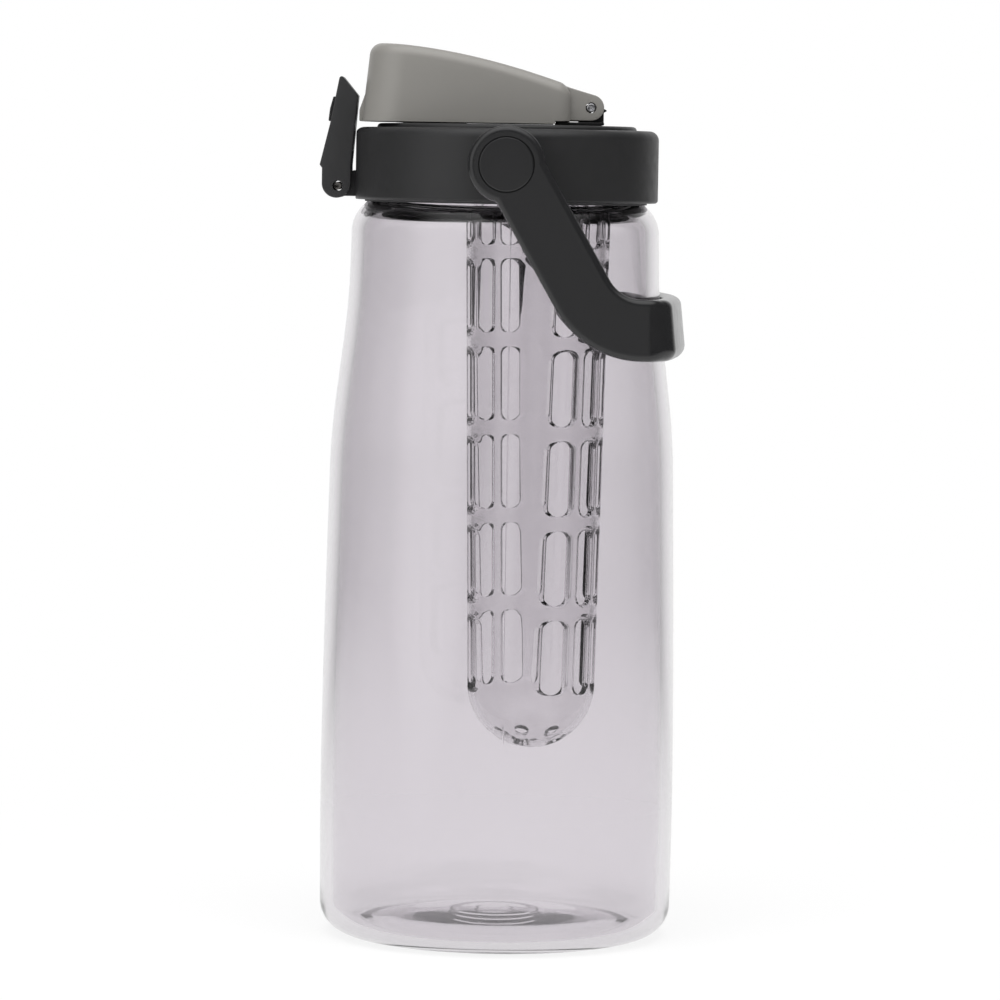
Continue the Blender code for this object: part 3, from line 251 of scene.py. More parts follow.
# A new node with its own settings and inputs.
def added(tree, kind, inputs, **settings):
    made = tree.nodes.new("ShaderNode" + kind)
    for name, value in settings.items():
        setattr(made, name, value)
    return fed(tree, made, inputs)


# Coordinates of one kind.
def coordinates(tree, kind):
    return added(tree, "TexCoord", {}).outputs[kind]


# A value carried from one stretch to another; a smooth one eases at both ends.
def ranged(tree, value, edges, levels, ease="LINEAR"):
    inputs = dict(zip(("From Min", "From Max", "To Min", "To Max"), (*edges, *levels)))
    return added(tree, "MapRange", {"Value": value, **inputs}, interpolation_type=ease).outputs["Result"]


# An empty group with named sockets, the sockets that bring values in and the node that takes them out.
def grouped(name, inputs, outputs):
    group = bpy.data.node_groups.new(name, "ShaderNodeTree")
    for way, sockets in (("INPUT", inputs), ("OUTPUT", outputs)):
        for socket, kind in sockets.items():
            group.interface.new_socket(name=socket, in_out=way, socket_type="NodeSocket" + kind)
    return group, group.nodes.new("NodeGroupInput").outputs, group.nodes.new("NodeGroupOutput")


# Noise stays within the span; the places are those of a Mix node's two colours and of their mix.
grain = {
    "span": (0.3, 0.7), "mottleDetail": 2.0, "grainDetail": 3.0, "firstPlace": 6, "secondPlace": 7,
    "mixPlace": 2,
}


# What all moulded finishes share: soft noise over the row frame's own coordinates mottles the colour and the
# roughness, and fine noise is the height of the bumps.
def grainGroup():
    numbers = ("Smooth", "Rough", "Mottle Scale", "Grain Scale", "Grain Strength", "Grain Depth")
    inputs = {"Deep": "Color", "Pale": "Color", **dict.fromkeys(numbers, "Float")}
    outputs = {"Colour": "Color", "Roughness": "Float", "Normal": "Vector"}
    group, given, taken = grouped("mouldedGrain", inputs, outputs)
    place = coordinates(group, "Object")
    mottle, fine = [
        added(group, "TexNoise", {"Scale": given[scale], "Detail": detail, "Vector": place}).outputs["Fac"]
        for scale, detail in (("Mottle Scale", grain["mottleDetail"]), ("Grain Scale", grain["grainDetail"]))]
    colours = {grain["firstPlace"]: given["Deep"], grain["secondPlace"]: given["Pale"]}
    tint = added(group, "Mix", {"Factor": mottle, **colours}, data_type="RGBA")
    bump = added(group, "Bump", {
        "Strength": given["Grain Strength"], "Distance": given["Grain Depth"], "Height": fine})
    fed(group, taken, {
        "Colour": tint.outputs[grain["mixPlace"]], "Normal": bump.outputs["Normal"],
        "Roughness": ranged(group, mottle, grain["span"], (given["Smooth"], given["Rough"]))})
    return group


surface = grainGroup()


# A moulded finish with its own mottling and grain. A clear one also takes up light along the way through it.
def moulded(look):
    made = bpy.data.materials.new(look["name"])
    made.use_nodes = True
    tree = made.node_tree
    deep, pale = [
        (*[part * share for part in look["colour"]], 1) for share in (1 - look["spread"], 1 + look["spread"])]
    smooth, rough = look["roughness"]
    worked = added(tree, "Group", {
        "Deep": deep, "Pale": pale, "Smooth": smooth, "Rough": rough, "Mottle Scale": 1 / look["mottleSize"],
        "Grain Scale": 1 / look["grainSize"], "Grain Strength": look["grainStrength"],
        "Grain Depth": look["grainDepth"]}, node_tree=surface).outputs
    fed(tree, tree.nodes["Principled BSDF"], {
        "Base Color": worked["Colour"], "Roughness": worked["Roughness"], "Normal": worked["Normal"],
        "Metallic": look.get("metallic", 0.0), "Transmission Weight": look.get("transmission", 0.0),
        "IOR": look.get("ior", 1.5), "Specular IOR Level": look.get("specular", 0.5)})
    if "absorbed" in look:
        depth = added(tree, "VolumeAbsorption", {"Color": (0, 0, 0, 1), "Density": look["absorbed"]})
        fed(tree, tree.nodes["Material Output"], {"Volume": depth.outputs["Volume"]})
    return made


clearLook = {
    "spread": 0.004, "mottleSize": 0.02, "roughness": (0.0, 0.012), "grainSize": 0.012, "grainDepth": 0.00003,
    "transmission": 1.0, "ior": 1.49,
}
darkLook = {
    "spread": 0.06, "mottleSize": 0.004, "grainSize": 0.00035, "grainDepth": 0.00002, "grainStrength": 0.4,
}
steelLook = {
    "spread": 0.04, "mottleSize": 0.001, "grainSize": 0.0002, "grainDepth": 0.000004, "grainStrength": 0.5,
    "metallic": 1.0,
}
looks = {
    "clear": {
        **clearLook, "name": "clearPlastic", "colour": (0.872, 0.846, 0.874), "grainStrength": 0.25,
        "absorbed": 17.0,
    },
    "infuser": {
        **clearLook, "name": "infuserPlastic", "colour": (0.955, 0.948, 0.955), "grainStrength": 0.20,
        "absorbed": 25.0,
    },
    "collar": {
        **darkLook, "name": "collarPlastic", "colour": (0.0150, 0.0150, 0.0156), "roughness": (0.42, 0.50),
        "specular": 0.40,
    },
    "lever": {
        **darkLook, "name": "leverPlastic", "colour": (0.0220, 0.0220, 0.0228), "roughness": (0.38, 0.46),
        "specular": 0.45,
    },
    "handle": {
        **darkLook, "name": "handlePlastic", "colour": (0.0125, 0.0125, 0.0131), "roughness": (0.20, 0.24),
        "grainSize": 0.0012, "grainDepth": 0.00001, "grainStrength": 0.08, "specular": 0.50,
    },
    "black": {
        "name": "blackPlastic", "colour": (0.006, 0.006, 0.0066), "spread": 0.08, "mottleSize": 0.003,
        "roughness": (0.38, 0.46), "grainSize": 0.0004, "grainDepth": 0.00002, "grainStrength": 0.5,
    },
    "grey": {
        "name": "greyPlastic", "colour": (0.205, 0.198, 0.184), "spread": 0.02, "mottleSize": 0.006,
        "roughness": (0.36, 0.44), "grainSize": 0.0005, "grainDepth": 0.00001, "grainStrength": 0.4,
    },
    "soft": {
        "name": "softSilicone", "colour": (0.045, 0.045, 0.047), "spread": 0.05, "mottleSize": 0.002,
        "roughness": (0.60, 0.72), "grainSize": 0.0004, "grainDepth": 0.00002, "grainStrength": 0.5,
    },
    "steel": {**steelLook, "name": "brushedSteel", "colour": (0.58, 0.58, 0.60), "roughness": (0.18, 0.28)},
    # The latch pin's steel is painted dark: its colour is painted shade standing in for the shade of its
    # recess in the lever's hole.
    "pin": {**steelLook, "name": "pinSteelPaintedShade", "colour": (0.10, 0.095, 0.09), "roughness": (0.24, 0.34)},
}
finishes = {key: moulded(look) for key, look in looks.items()}


# A finished piece stands for its node, moves with its body and takes its finish.
def placed(piece, node, carrier, look):
    piece.data.materials.clear()
    piece.data.materials.append(finishes[look])
    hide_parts(node)
    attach(piece, carrier)
    return piece


# Clear body

body = {
    "neck": 0.0424, "heights": (0.0098, 0.042, 0.150, 0.212, 0.224),
    "radii": (0.0562, 0.0565, 0.05485, 0.04925, 0.0490), "slopes": (0.012, 0.0, -0.022, -0.022, 0.0),
    "wall": 0.0040, "shoulderBend": 0.012, "corner": 0.0098, "innerCorner": 0.0070, "bore": 0.0400,
    "rimEase": 0.0006, "nub": (0.0058, 0.0044), "ring": (0.0140, 0.0056), "stepWidth": 0.0006,
    "puntTop": 0.0046, "puntLip": 0.0022, "puntRadius": 0.0395, "footInner": 0.0430, "footOuter": 0.0464,
    "innerEdge": 0.0034, "innerMiddle": 0.0082, "ease": 0.00025, "puntEase": 0.0012, "footEase": 0.0010,
    "threadDepth": 0.0012, "threadPitch": 0.0040, "threadRoot": 0.0011, "threadCrest": 0.0005,
    "threadStart": 0.0055, "threadTurns": 1.5, "threadFade": 0.12, "threadWraps": 3, "sharp": 35,
    "seams": (-88.1, 91.9), "seamDepth": 0.00003, "seamHalf": 0.25,
    "seamSteps": (-0.4, -0.25, -0.12, 0, 0.12, 0.25, 0.4), "columns": 228, "sideRows": 64, "innerRows": 52,
    "neckRows": 72, "bendRows": 22, "innerBendRows": 14, "innerCornerRows": 12, "easeRows": 5,
    "puntStart": 0.06, "puntRows": 14, "floorRows": 18,
}


# The side's radius at a height: an ease between two stations plus their slopes.
def sideRadius(height, start):
    heights = np.array((start, *body["heights"][1:]))
    radii = np.array(body["radii"])
    slopes = np.array(body["slopes"])
    i = np.clip(np.searchsorted(heights, height, side="right") - 1, 0, len(heights) - 2)
    span = heights[i + 1] - heights[i]
    share = (height - heights[i]) / span
    ease = share * share * (3 - 2 * share)
    leave = share * (1 - share) ** 2 * span * slopes[i]
    arrive = share * share * (share - 1) * span * slopes[i + 1]
    return radii[i] + (radii[i + 1] - radii[i]) * ease + leave + arrive


# How far the thread stands out at an angle and height: a flat-topped ridge round each turn of its climb.
def threadRidge(angles, heights, root):
    turns = angles[None, :, None] / (2 * math.pi) + np.arange(body["threadWraps"])[None, None, :]
    share = turns / body["threadTurns"]
    fade = np.clip(np.minimum(share, 1 - share) / body["threadFade"], 0, 1)
    middle = root + body["threadStart"] + body["threadPitch"] * turns
    away = np.abs(heights[:, None, None] - middle)
    slope = (body["threadRoot"] - away) / (body["threadRoot"] - body["threadCrest"])
    return (body["threadDepth"] * fade * np.clip(slope, 0, 1)).max(2)


# A profile (radius, height) runs out under the foot, up the side, over the rim and down inside to the middle.
# It turns about Z; the thread adds to the neck's radius and the mould's seams take a little off the side's.
def clearBody():
    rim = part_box("bottle_body")[1].z
    axis = body["radii"][4] - body["shoulderBend"]
    brow = body["heights"][4]
    outerTurn = math.degrees(math.acos((body["neck"] - axis) / body["shoulderBend"]))
    innerBend = body["shoulderBend"] - body["wall"]
    innerTurn = math.degrees(math.acos((body["bore"] - axis) / innerBend))
    neckRoot = brow + body["shoulderBend"] * math.sin(math.radians(outerTurn))
    ease = body["ease"]
    step = body["stepWidth"]
    share = np.linspace(body["puntStart"], 1, body["puntRows"])
    reach = body["puntRadius"] - body["ring"][0]
    dome = np.column_stack((
        body["ring"][0] + reach * share,
        body["puntTop"] + (body["puntLip"] - body["puntTop"]) * share ** 2, 0 * share))
    under = softened([
        (0, body["nub"][1], 0), (body["nub"][0] - step, body["nub"][1], ease),
        (body["nub"][0], body["ring"][1], ease), (body["ring"][0] - step, body["ring"][1], ease),
        (body["ring"][0], body["puntTop"], ease), *dome[:-1], (*dome[-1, :2], body["puntEase"]),
        (body["footInner"], 0, body["footEase"]), (body["footOuter"], 0, 0)], body["easeRows"])
    corner = arc(body["footOuter"], body["corner"], body["corner"], -90, 0, body["bendRows"])[1:]
    rise = np.linspace(body["corner"], brow, body["sideRows"])[1:]
    side = np.column_stack((sideRadius(rise, body["corner"]), rise))
    shoulder = arc(axis, brow, body["shoulderBend"], 0, outerTurn, body["bendRows"])[1:]
    rimEase = body["rimEase"]
    climb = np.linspace(neckRoot, rim - rimEase, body["neckRows"])[1:]
    neck = np.column_stack((0 * climb + body["neck"], climb))
    lip = np.concatenate((
        arc(body["neck"] - rimEase, rim - rimEase, rimEase, 0, 90, body["easeRows"])[1:],
        arc(body["bore"] + rimEase, rim - rimEase, rimEase, 90, 180, body["easeRows"])))
    innerShoulder = arc(axis, brow, innerBend, innerTurn, 0, body["innerBendRows"])
    innerStart = body["innerEdge"] + body["innerCorner"]
    fall = np.linspace(brow, innerStart, body["innerRows"])[1:]
    innerSide = np.column_stack((sideRadius(fall, innerStart) - body["wall"], fall))
    cornerAxis = body["radii"][0] - body["wall"] - body["innerCorner"]
    innerCorner = arc(cornerAxis, innerStart, body["innerCorner"], 0, -90, body["innerCornerRows"])[1:]
    back = np.linspace(1, 0, body["floorRows"])[1:]
    floor = np.column_stack((
        cornerAxis * back, body["innerEdge"] + (body["innerMiddle"] - body["innerEdge"]) * (1 - back ** 2)))
    parts = (under, corner, side, shoulder, neck, lip, innerShoulder, innerSide, innerCorner, floor)
    profile = np.concatenate(parts)
    ends = np.cumsum([len(part) for part in parts])
    seams = np.add.outer(body["seams"], body["seamSteps"]).ravel()
    degrees = np.sort(np.concatenate((np.linspace(0, 360, body["columns"], endpoint=False), seams % 360)))
    angles = np.radians(degrees)
    radius = profile[:, :1] + 0 * angles
    inNeck = slice(ends[3], ends[4])
    radius[inNeck] += threadRidge(angles, profile[inNeck, 1], neckRoot)
    outside = slice(ends[0], ends[3])
    near = np.abs((degrees[:, None] - np.array(body["seams"])[None, :] + 180) % 360 - 180).min(1)
    radius[outside] -= body["seamDepth"] * np.clip(1 - near / body["seamHalf"], 0, 1)
    heights = profile[:, 1:] + 0 * angles
    points = np.stack((radius * np.cos(angles), radius * np.sin(angles), heights), -1)
    piece = solid("clearBody", points, quads(len(profile), len(angles), False).tolist(), body["sharp"])
    placed(piece, "bottle_body", "bottle", "clear")
    return neckRoot


neckRoot = clearBody()
print("clear body")


# Sealing rings at the neck and the mouth

seals = {
    "gap": 0.0003, "crisp": 0.0001, "rise": 0.0006, "ease": 0.0004, "overhang": 0.0014, "gasketEase": 0.0003,
}


# The height of the shoulder's round at a radius: its centre plus the square root of what the reach leaves.
def shoulderHeight(radius):
    axis = body["radii"][4] - body["shoulderBend"]
    return body["heights"][4] + math.sqrt(body["shoulderBend"] ** 2 - (radius - axis) ** 2)


# The ring follows the shoulder's slope below and is level above.
def neckRing():
    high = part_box("neck_ring")[1]
    outer = high.x
    inner = body["neck"] + seals["gap"]
    outline = softened([
        (inner, shoulderHeight(inner) + seals["rise"], seals["crisp"]),
        (outer, shoulderHeight(outer) + seals["rise"], seals["crisp"]),
        (outer, high.z, seals["ease"]), (inner, high.z, seals["crisp"])])
    placed(turned("neckRing", outline), "neck_ring", "bottle", "soft")


# A flat ring with rounded edges, a little narrower inside than the neck.
def mouthGasket():
    low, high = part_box("mouth_gasket")
    inner = body["bore"] - seals["overhang"]
    outline = softened(rectangle(inner, high.x, low.z, high.z, seals["gasketEase"]))
    placed(turned("mouthGasket", outline), "mouth_gasket", "lid_seal", "soft")


neckRing()
mouthGasket()


# Lid collar

collar = {
    "bore": 0.0442, "relief": 0.0452, "reliefTop": 0.238633, "footBend": 0.0010, "headBend": 0.0030,
    "recess": 0.0416, "ledgeTop": 0.255416, "ledgeBottom": 0.253516, "ledgeInner": 0.0370,
    "top": 0.257216, "radius": 0.0484, "wall": 0.0042, "bossRadius": 0.0093, "bossEase": 0.0005,
    "pivot": 0.246033, "socket": 0.0048, "socketEnd": 0.0456, "flatDepth": 0.0007, "flatHalf": 0.0095,
    "crisp": 0.0001, "footEase": 0.0002, "headEase": 0.0003, "easeSteps": 10, "facets": 240, "bossFacets": 96,
    "socketFacets": 64, "cutFar": 0.056, "cutTop": 0.262, "cutDrop": 0.004, "cutHalf": 0.01,
    "noseStart": 110, "noseSteps": 24, "lugEase": 0.0003,
}
latch = {
    "pinX": -0.0534, "pinZ": 0.238433, "pinRadius": 0.00125, "pinCup": 0.0006, "hole": 0.0016,
    "half": 0.0095, "footRadius": 0.0046, "footShift": 0.0004, "footRise": 0.0008, "kneeRise": 0.0067,
    "shoulderX": -0.0473, "shoulderRise": 0.0287, "tipRise": 0.0346, "tipRadius": 0.0008, "tipShift": 0.0001,
    "backOut": 0.0026, "backRise": 0.0197, "lipOut": 0.00575, "lipRise": 0.0066, "lipTuck": 0.0010,
    "channelHalf": 0.0063, "channelRise": 0.0110, "skin": 0.0020, "openRise": 0.0017, "edge": 0.0004,
    "lugHalf": 0.0057, "lugRadius": 0.0027, "lugRise": 0.0050, "lugDrop": 0.0032, "lugToe": 0.0021,
    "padHalf": 0.0068, "padLow": 0.0204, "padHigh": 0.0282, "padRecess": 0.0008, "padGap": 0.0003,
    "padThickness": 0.0013, "padBulge": 0.0003, "padEase": 0.0004, "padBend": 0.004, "kneeBend": 0.0030,
    "shoulderBend": 0.0008, "backBend": 0.0050, "lipBend": 0.0005, "tipStart": 47, "tipEnd": 168,
    "footSteps": 48, "easeSteps": 10, "channelEnd": -0.0442, "cutFar": 0.004, "cutHalf": 0.014,
    "pinEase": 0.0001, "pinRim": 0.0002, "pinFacets": 64,
}


# The turned ring, then its two bosses, the flat behind the latch, the latch's lug and the holes.
def lidCollar():
    low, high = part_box("lid_collar")
    crisp, radius, ledge = collar["crisp"], collar["radius"], collar["ledgeBottom"]
    outline = softened([
        (collar["relief"], low.z, collar["footEase"]), (radius, low.z, collar["footBend"]),
        (radius, collar["top"], collar["headBend"]), (collar["recess"], collar["top"], collar["headEase"]),
        (collar["recess"], collar["ledgeTop"], 0), (collar["ledgeInner"], collar["ledgeTop"], crisp),
        (collar["ledgeInner"], ledge, crisp), (collar["bore"], ledge, 0),
        (collar["bore"], collar["reliefTop"], crisp), (collar["relief"], collar["reliefTop"], 0)],
        collar["easeSteps"])
    piece = turned("lidCollar", outline, collar["facets"])
    root = radius - collar["wall"] / 2
    boss = disc(0, collar["pivot"], collar["bossRadius"], collar["bossFacets"])
    bothSides(piece, boss, root, high.y, "UNION", collar["bossEase"])
    face = collar["flatDepth"] - radius
    flat = rectangle(-collar["cutFar"], face, low.z - collar["cutDrop"], collar["cutTop"])
    combined(piece, slab("flat", flat, -collar["flatHalf"], collar["flatHalf"]), "DIFFERENCE")
    x, z = latch["pinX"], latch["pinZ"]
    foot, top = z - latch["lugDrop"], z + latch["lugRise"]
    nose = arc(x, z, latch["lugRadius"], collar["noseStart"], 270, collar["noseSteps"])
    lug = np.concatenate((nose, [(x + latch["lugToe"], foot), (-root, foot), (-root, top), (-radius, top)]))
    combined(piece, slab("lug", lug, -latch["lugHalf"], latch["lugHalf"], collar["lugEase"]), "UNION")
    socket = disc(0, collar["pivot"], collar["socket"], collar["socketFacets"])
    bothSides(piece, socket, collar["socketEnd"], collar["cutFar"], "DIFFERENCE")
    bored(piece, x, z, latch["hole"], collar["cutHalf"])
    placed(piece, "lid_collar", "lid", "collar")


lidCollar()
print("collar")


# Lid deck

deck = {
    "radius": 0.0413, "low": 0.255716, "top": 0.258516, "bend": 0.0013, "plugInner": 0.0350,
    "plug": 0.0367, "plugLow": 0.250016, "snapTop": 0.253216, "snapLow": 0.251416, "snap": 0.0374,
    "socket": 0.0223, "socketWall": 0.0017, "socketLow": 0.246016, "infuserX": 0.0105,
    "spoutX": -0.0245, "spoutHole": 0.0091, "ventX": -0.0160, "ventY": 0.0160, "ventHole": 0.0015,
    "crisp": 0.0001, "plugEase": 0.0002, "snapEase": 0.0003, "easeSteps": 8, "facets": 240,
    "socketFacets": 144, "spoutFacets": 96, "ventFacets": 32, "joined": 0.0006, "overrun": 0.004,
}


# The turned disc with its snap-in plug, then the infuser's socket below it and the spout's and vent's holes.
def lidDeck():
    low, top, plug = deck["low"], deck["top"], deck["plug"]
    crisp, ease, snapEase = deck["crisp"], deck["plugEase"], deck["snapEase"]
    outline = softened([
        (0, low, 0), (deck["plugInner"], low, ease), (deck["plugInner"], deck["plugLow"], ease),
        (plug, deck["plugLow"], snapEase), (plug, deck["snapLow"], snapEase),
        (deck["snap"], deck["snapTop"], crisp), (plug, deck["snapTop"], 0), (plug, low, 0),
        (deck["radius"], low, crisp), (deck["radius"], top, deck["bend"]), (0, top, 0)], deck["easeSteps"])
    piece = turned("lidDeck", outline, deck["facets"])
    outer = deck["socket"] + deck["socketWall"]
    socket = softened(rectangle(deck["socket"], outer, deck["socketLow"], low + deck["joined"], ease))
    combined(piece, turned("socket", socket, deck["socketFacets"], deck["infuserX"]), "UNION")
    under, over = low - deck["overrun"], top + deck["overrun"]
    hole = [(0, under), (deck["spoutHole"], under), (deck["spoutHole"], over), (0, over)]
    combined(piece, turned("hole", hole, deck["spoutFacets"], deck["spoutX"]), "DIFFERENCE")
    vent = disc(deck["ventX"], deck["ventY"], deck["ventHole"], deck["ventFacets"])
    combined(piece, slab("vent", vent, under, over, along="Z"), "DIFFERENCE")
    placed(piece, "lid_deck", "lid", "collar")


lidDeck()


# Spout, its seal and the vent valve

spout = {
    "bore": 0.0072, "outer": 0.0088, "flange": 0.0110, "flangeThickness": 0.0014, "gap": 0.0003,
    "lipBend": 0.0007, "stem": 0.0012, "barb": 0.0021, "barbHeight": 0.0012, "cap": 0.0032,
    "capThickness": 0.0011, "sealDisc": 0.0093, "sealPlug": 0.0064, "sealTaper": 0.0006,
    "sealThickness": 0.0029, "studHole": 0.0019, "studLength": 0.0016, "crisp": 0.0001, "footEase": 0.0003,
    "rimEase": 0.0004, "capBend": 0.0005, "sealEase": 0.0006, "studEase": 0.0002, "easeSteps": 8,
    "facets": 144, "valveFacets": 64, "sealFacets": 96,
}


# Each outline turns about the upright axis of its own hole.
def spoutPieces():
    low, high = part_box("spout")
    crisp, footEase, rimEase = spout["crisp"], spout["footEase"], spout["rimEase"]
    flangeLow = deck["top"] + spout["gap"]
    flangeTop = flangeLow + spout["flangeThickness"]
    outline = softened([
        (spout["bore"], low.z, footEase), (spout["outer"], low.z, footEase), (spout["outer"], flangeLow, 0),
        (spout["flange"], flangeLow, crisp), (spout["flange"], flangeTop, rimEase),
        (spout["outer"], flangeTop, rimEase), (spout["outer"], high.z, spout["lipBend"]),
        (spout["bore"], high.z, spout["lipBend"])], spout["easeSteps"])
    placed(turned("spoutTube", outline, spout["facets"], deck["spoutX"]), "spout", "lid", "grey")
    barbTop = deck["low"] - spout["gap"]
    barbLow = barbTop - spout["barbHeight"]
    capTop = flangeLow + spout["capThickness"]
    outline = softened([
        (0, barbLow, 0), (spout["stem"], barbLow, crisp), (spout["barb"], barbTop, crisp),
        (spout["stem"], barbTop, 0), (spout["stem"], flangeLow, 0), (spout["cap"], flangeLow, crisp),
        (spout["cap"] - spout["capThickness"], capTop, spout["capBend"]), (0, capTop, 0)])
    valve = turned("ventValve", outline, spout["valveFacets"], deck["ventX"])
    valve.data.transform(Matrix.Translation((0, deck["ventY"], 0)))
    placed(valve, "vent_valve", "lid", "soft")
    low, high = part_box("spout_seal")
    under = high.z - spout["sealThickness"]
    bottom = high.z - spout["studLength"]
    outline = softened([
        (0, low.z, 0), (spout["sealPlug"] - spout["sealTaper"], low.z, spout["sealEase"]),
        (spout["sealPlug"], under, crisp), (spout["sealDisc"], under, rimEase),
        (spout["sealDisc"], high.z, spout["sealEase"]), (spout["studHole"], high.z, spout["studEase"]),
        (spout["studHole"], bottom, 0), (0, bottom, 0)])
    placed(turned("spoutSeal", outline, spout["sealFacets"], deck["spoutX"]), "spout_seal", "cap", "soft")


spoutPieces()
print("deck and spout")


# Cap hinge

hinge = {
    "x": 0.0263, "z": 0.264216, "pin": 0.0014, "hole": 0.0017, "earRadius": 0.0041, "earInner": 0.0120,
    "earOuter": 0.0200, "earRoot": 0.0030, "knuckleHalf": 0.0115, "knuckleRadius": 0.0036,
    "plate": 0.0008, "front": 0.0110, "back": 0.0042, "shoulder": 0.0043, "toothHeight": 0.0012,
    "toothReach": 0.0013, "plateLow": 0.258816, "plateBend": 0.0010, "plateEase": 0.00015, "joined": 0.0006,
    "toothEase": 0.0003, "ease": 0.0001, "knuckleStart": 30, "knuckleSteps": 32, "cutHalf": 0.016,
    "pinCup": 0.0004, "cupFloor": 0.0006, "cupRim": 0.0009, "cupEase": 0.0002, "pinEase": 0.0004,
    "pinFacets": 64,
}


# A base plate joined to a long knuckle with a stop tooth behind it, and the pin with a cup in each end.
def hingePieces():
    x, z, radius = hinge["x"], hinge["z"], hinge["knuckleRadius"]
    top = hinge["plateLow"] + hinge["plate"]
    back = x + hinge["back"]
    plate = rectangle(x - hinge["front"], back, -hinge["earOuter"], hinge["earOuter"], hinge["plateBend"])
    piece = slab("hingeBracket", softened(plate), hinge["plateLow"], top, hinge["plateEase"], "Z")
    shoulder = deck["top"] + hinge["shoulder"]
    root = top - hinge["joined"]
    knuckle = softened([
        (x - radius, root, 0), (back, root, 0), (back, shoulder, 0),
        (back + hinge["toothReach"], shoulder + hinge["toothHeight"] / 2, hinge["toothEase"]),
        (back, shoulder + hinge["toothHeight"], 0)])
    bend = arc(x, z, radius, hinge["knuckleStart"], 180, hinge["knuckleSteps"])
    outline = np.concatenate((knuckle, bend))
    half = hinge["knuckleHalf"]
    combined(piece, slab("knuckle", outline, -half, half, hinge["ease"]), "UNION")
    bored(piece, x, z, hinge["hole"], hinge["cutHalf"])
    placed(piece, "hinge_bracket", "lid", "black")
    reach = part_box("cap_hinge_pin")[1].y
    cup = reach - hinge["pinCup"]
    end = [
        (0, cup, 0), (hinge["cupFloor"], cup, hinge["cupEase"]), (hinge["cupRim"], reach, hinge["cupEase"]),
        (hinge["pin"], reach, hinge["pinEase"])]
    placed(pinned("hingePin", end, hinge["pinFacets"], x, z), "cap_hinge_pin", "lid", "steel")


hingePieces()


# Flip cap

cap = {
    "front": -0.0459, "rear": 0.0199, "half": 0.0235, "low": 0.259016, "height": 0.0246, "drop": 0.0150,
    "fall": 1.8, "lean": 0.0026, "wall": 0.0018, "frontCorner": 0.0130, "rearCorner": 0.0042,
    "topBend": 0.0036, "lip": 0.0009, "lipHalf": 0.0088, "lipStraight": 0.0035, "lipHeight": 0.0100,
    "notch": 0.0009,
    "seat": 0.275516, "stud": 0.0016, "boss": 0.0042, "leastBend": 0.0003, "frontSteps": 24, "runSteps": 30,
    "rearSteps": 12, "bendRows": 12, "sideRows": 8, "earTop": 70, "earSteps": 32, "joined": 0.0006,
    "lipJoined": 0.0003, "lipBend": 0.0010, "lipEase": 0.0002, "edgeEase": 0.0003, "bossFacets": 64,
    "sharp": 40, "holeHalf": 0.025, "cutHalf": 0.03, "cutDrop": 0.004, "cutGap": 0.0003,
}


# The top's height along X: level at the nose, falling towards the hinge by a power of the share.
def capRoof(across):
    share = np.clip((across - cap["front"]) / (hinge["x"] - cap["front"]), 0, 1)
    return cap["low"] + cap["height"] - cap["drop"] * share ** cap["fall"]


# One side of the plan outline, drawn in by an inset.
def capSide(inset):
    front = cap["front"] + inset
    rear = cap["rear"] - inset
    half = cap["half"] - inset
    frontBend = cap["frontCorner"] - inset
    rearBend = max(cap["rearCorner"] - inset, cap["leastBend"])
    points = arc(front + frontBend, half - frontBend, frontBend, 180, 90, cap["frontSteps"])
    run = np.linspace(front + frontBend, rear - rearBend, cap["runSteps"])[1:-1]
    straight = np.column_stack((run, 0 * run + half))
    end = arc(rear - rearBend, half - rearBend, rearBend, 90, 0, cap["rearSteps"])
    return np.concatenate((points, straight, end))


# Rings of a skin: shares of the way up to the roof less the bend, then round the bend by its sine and cosine.
# Each point leans back by its share of the height and of the way to the rear.
def capSkin(wall):
    bend = cap["topBend"] - wall
    plan = capSide(wall)
    roof = capRoof(plan[:, 0]) - cap["topBend"]
    shares = np.linspace(0, 1, cap["sideRows"] + 1)[:-1]
    sides = [np.column_stack((plan, cap["low"] + (roof - cap["low"]) * share)) for share in shares]
    bends = []
    for angle in np.radians(np.linspace(0, 90, cap["bendRows"] + 1)):
        ring = capSide(wall + bend * (1 - math.cos(angle)))
        bends.append(np.column_stack((ring, capRoof(ring[:, 0]) - wall - bend * (1 - math.sin(angle)))))
    rings = np.array(sides + bends)
    rise = (rings[:, :, 2] - cap["low"]) / cap["height"]
    rings[:, :, 0] += cap["lean"] * rise * (cap["rear"] - rings[:, :, 0]) / (cap["rear"] - cap["front"])
    mirrored = rings[:, ::-1] * np.array((1, -1, 1))
    return np.concatenate((rings, mirrored), 1)


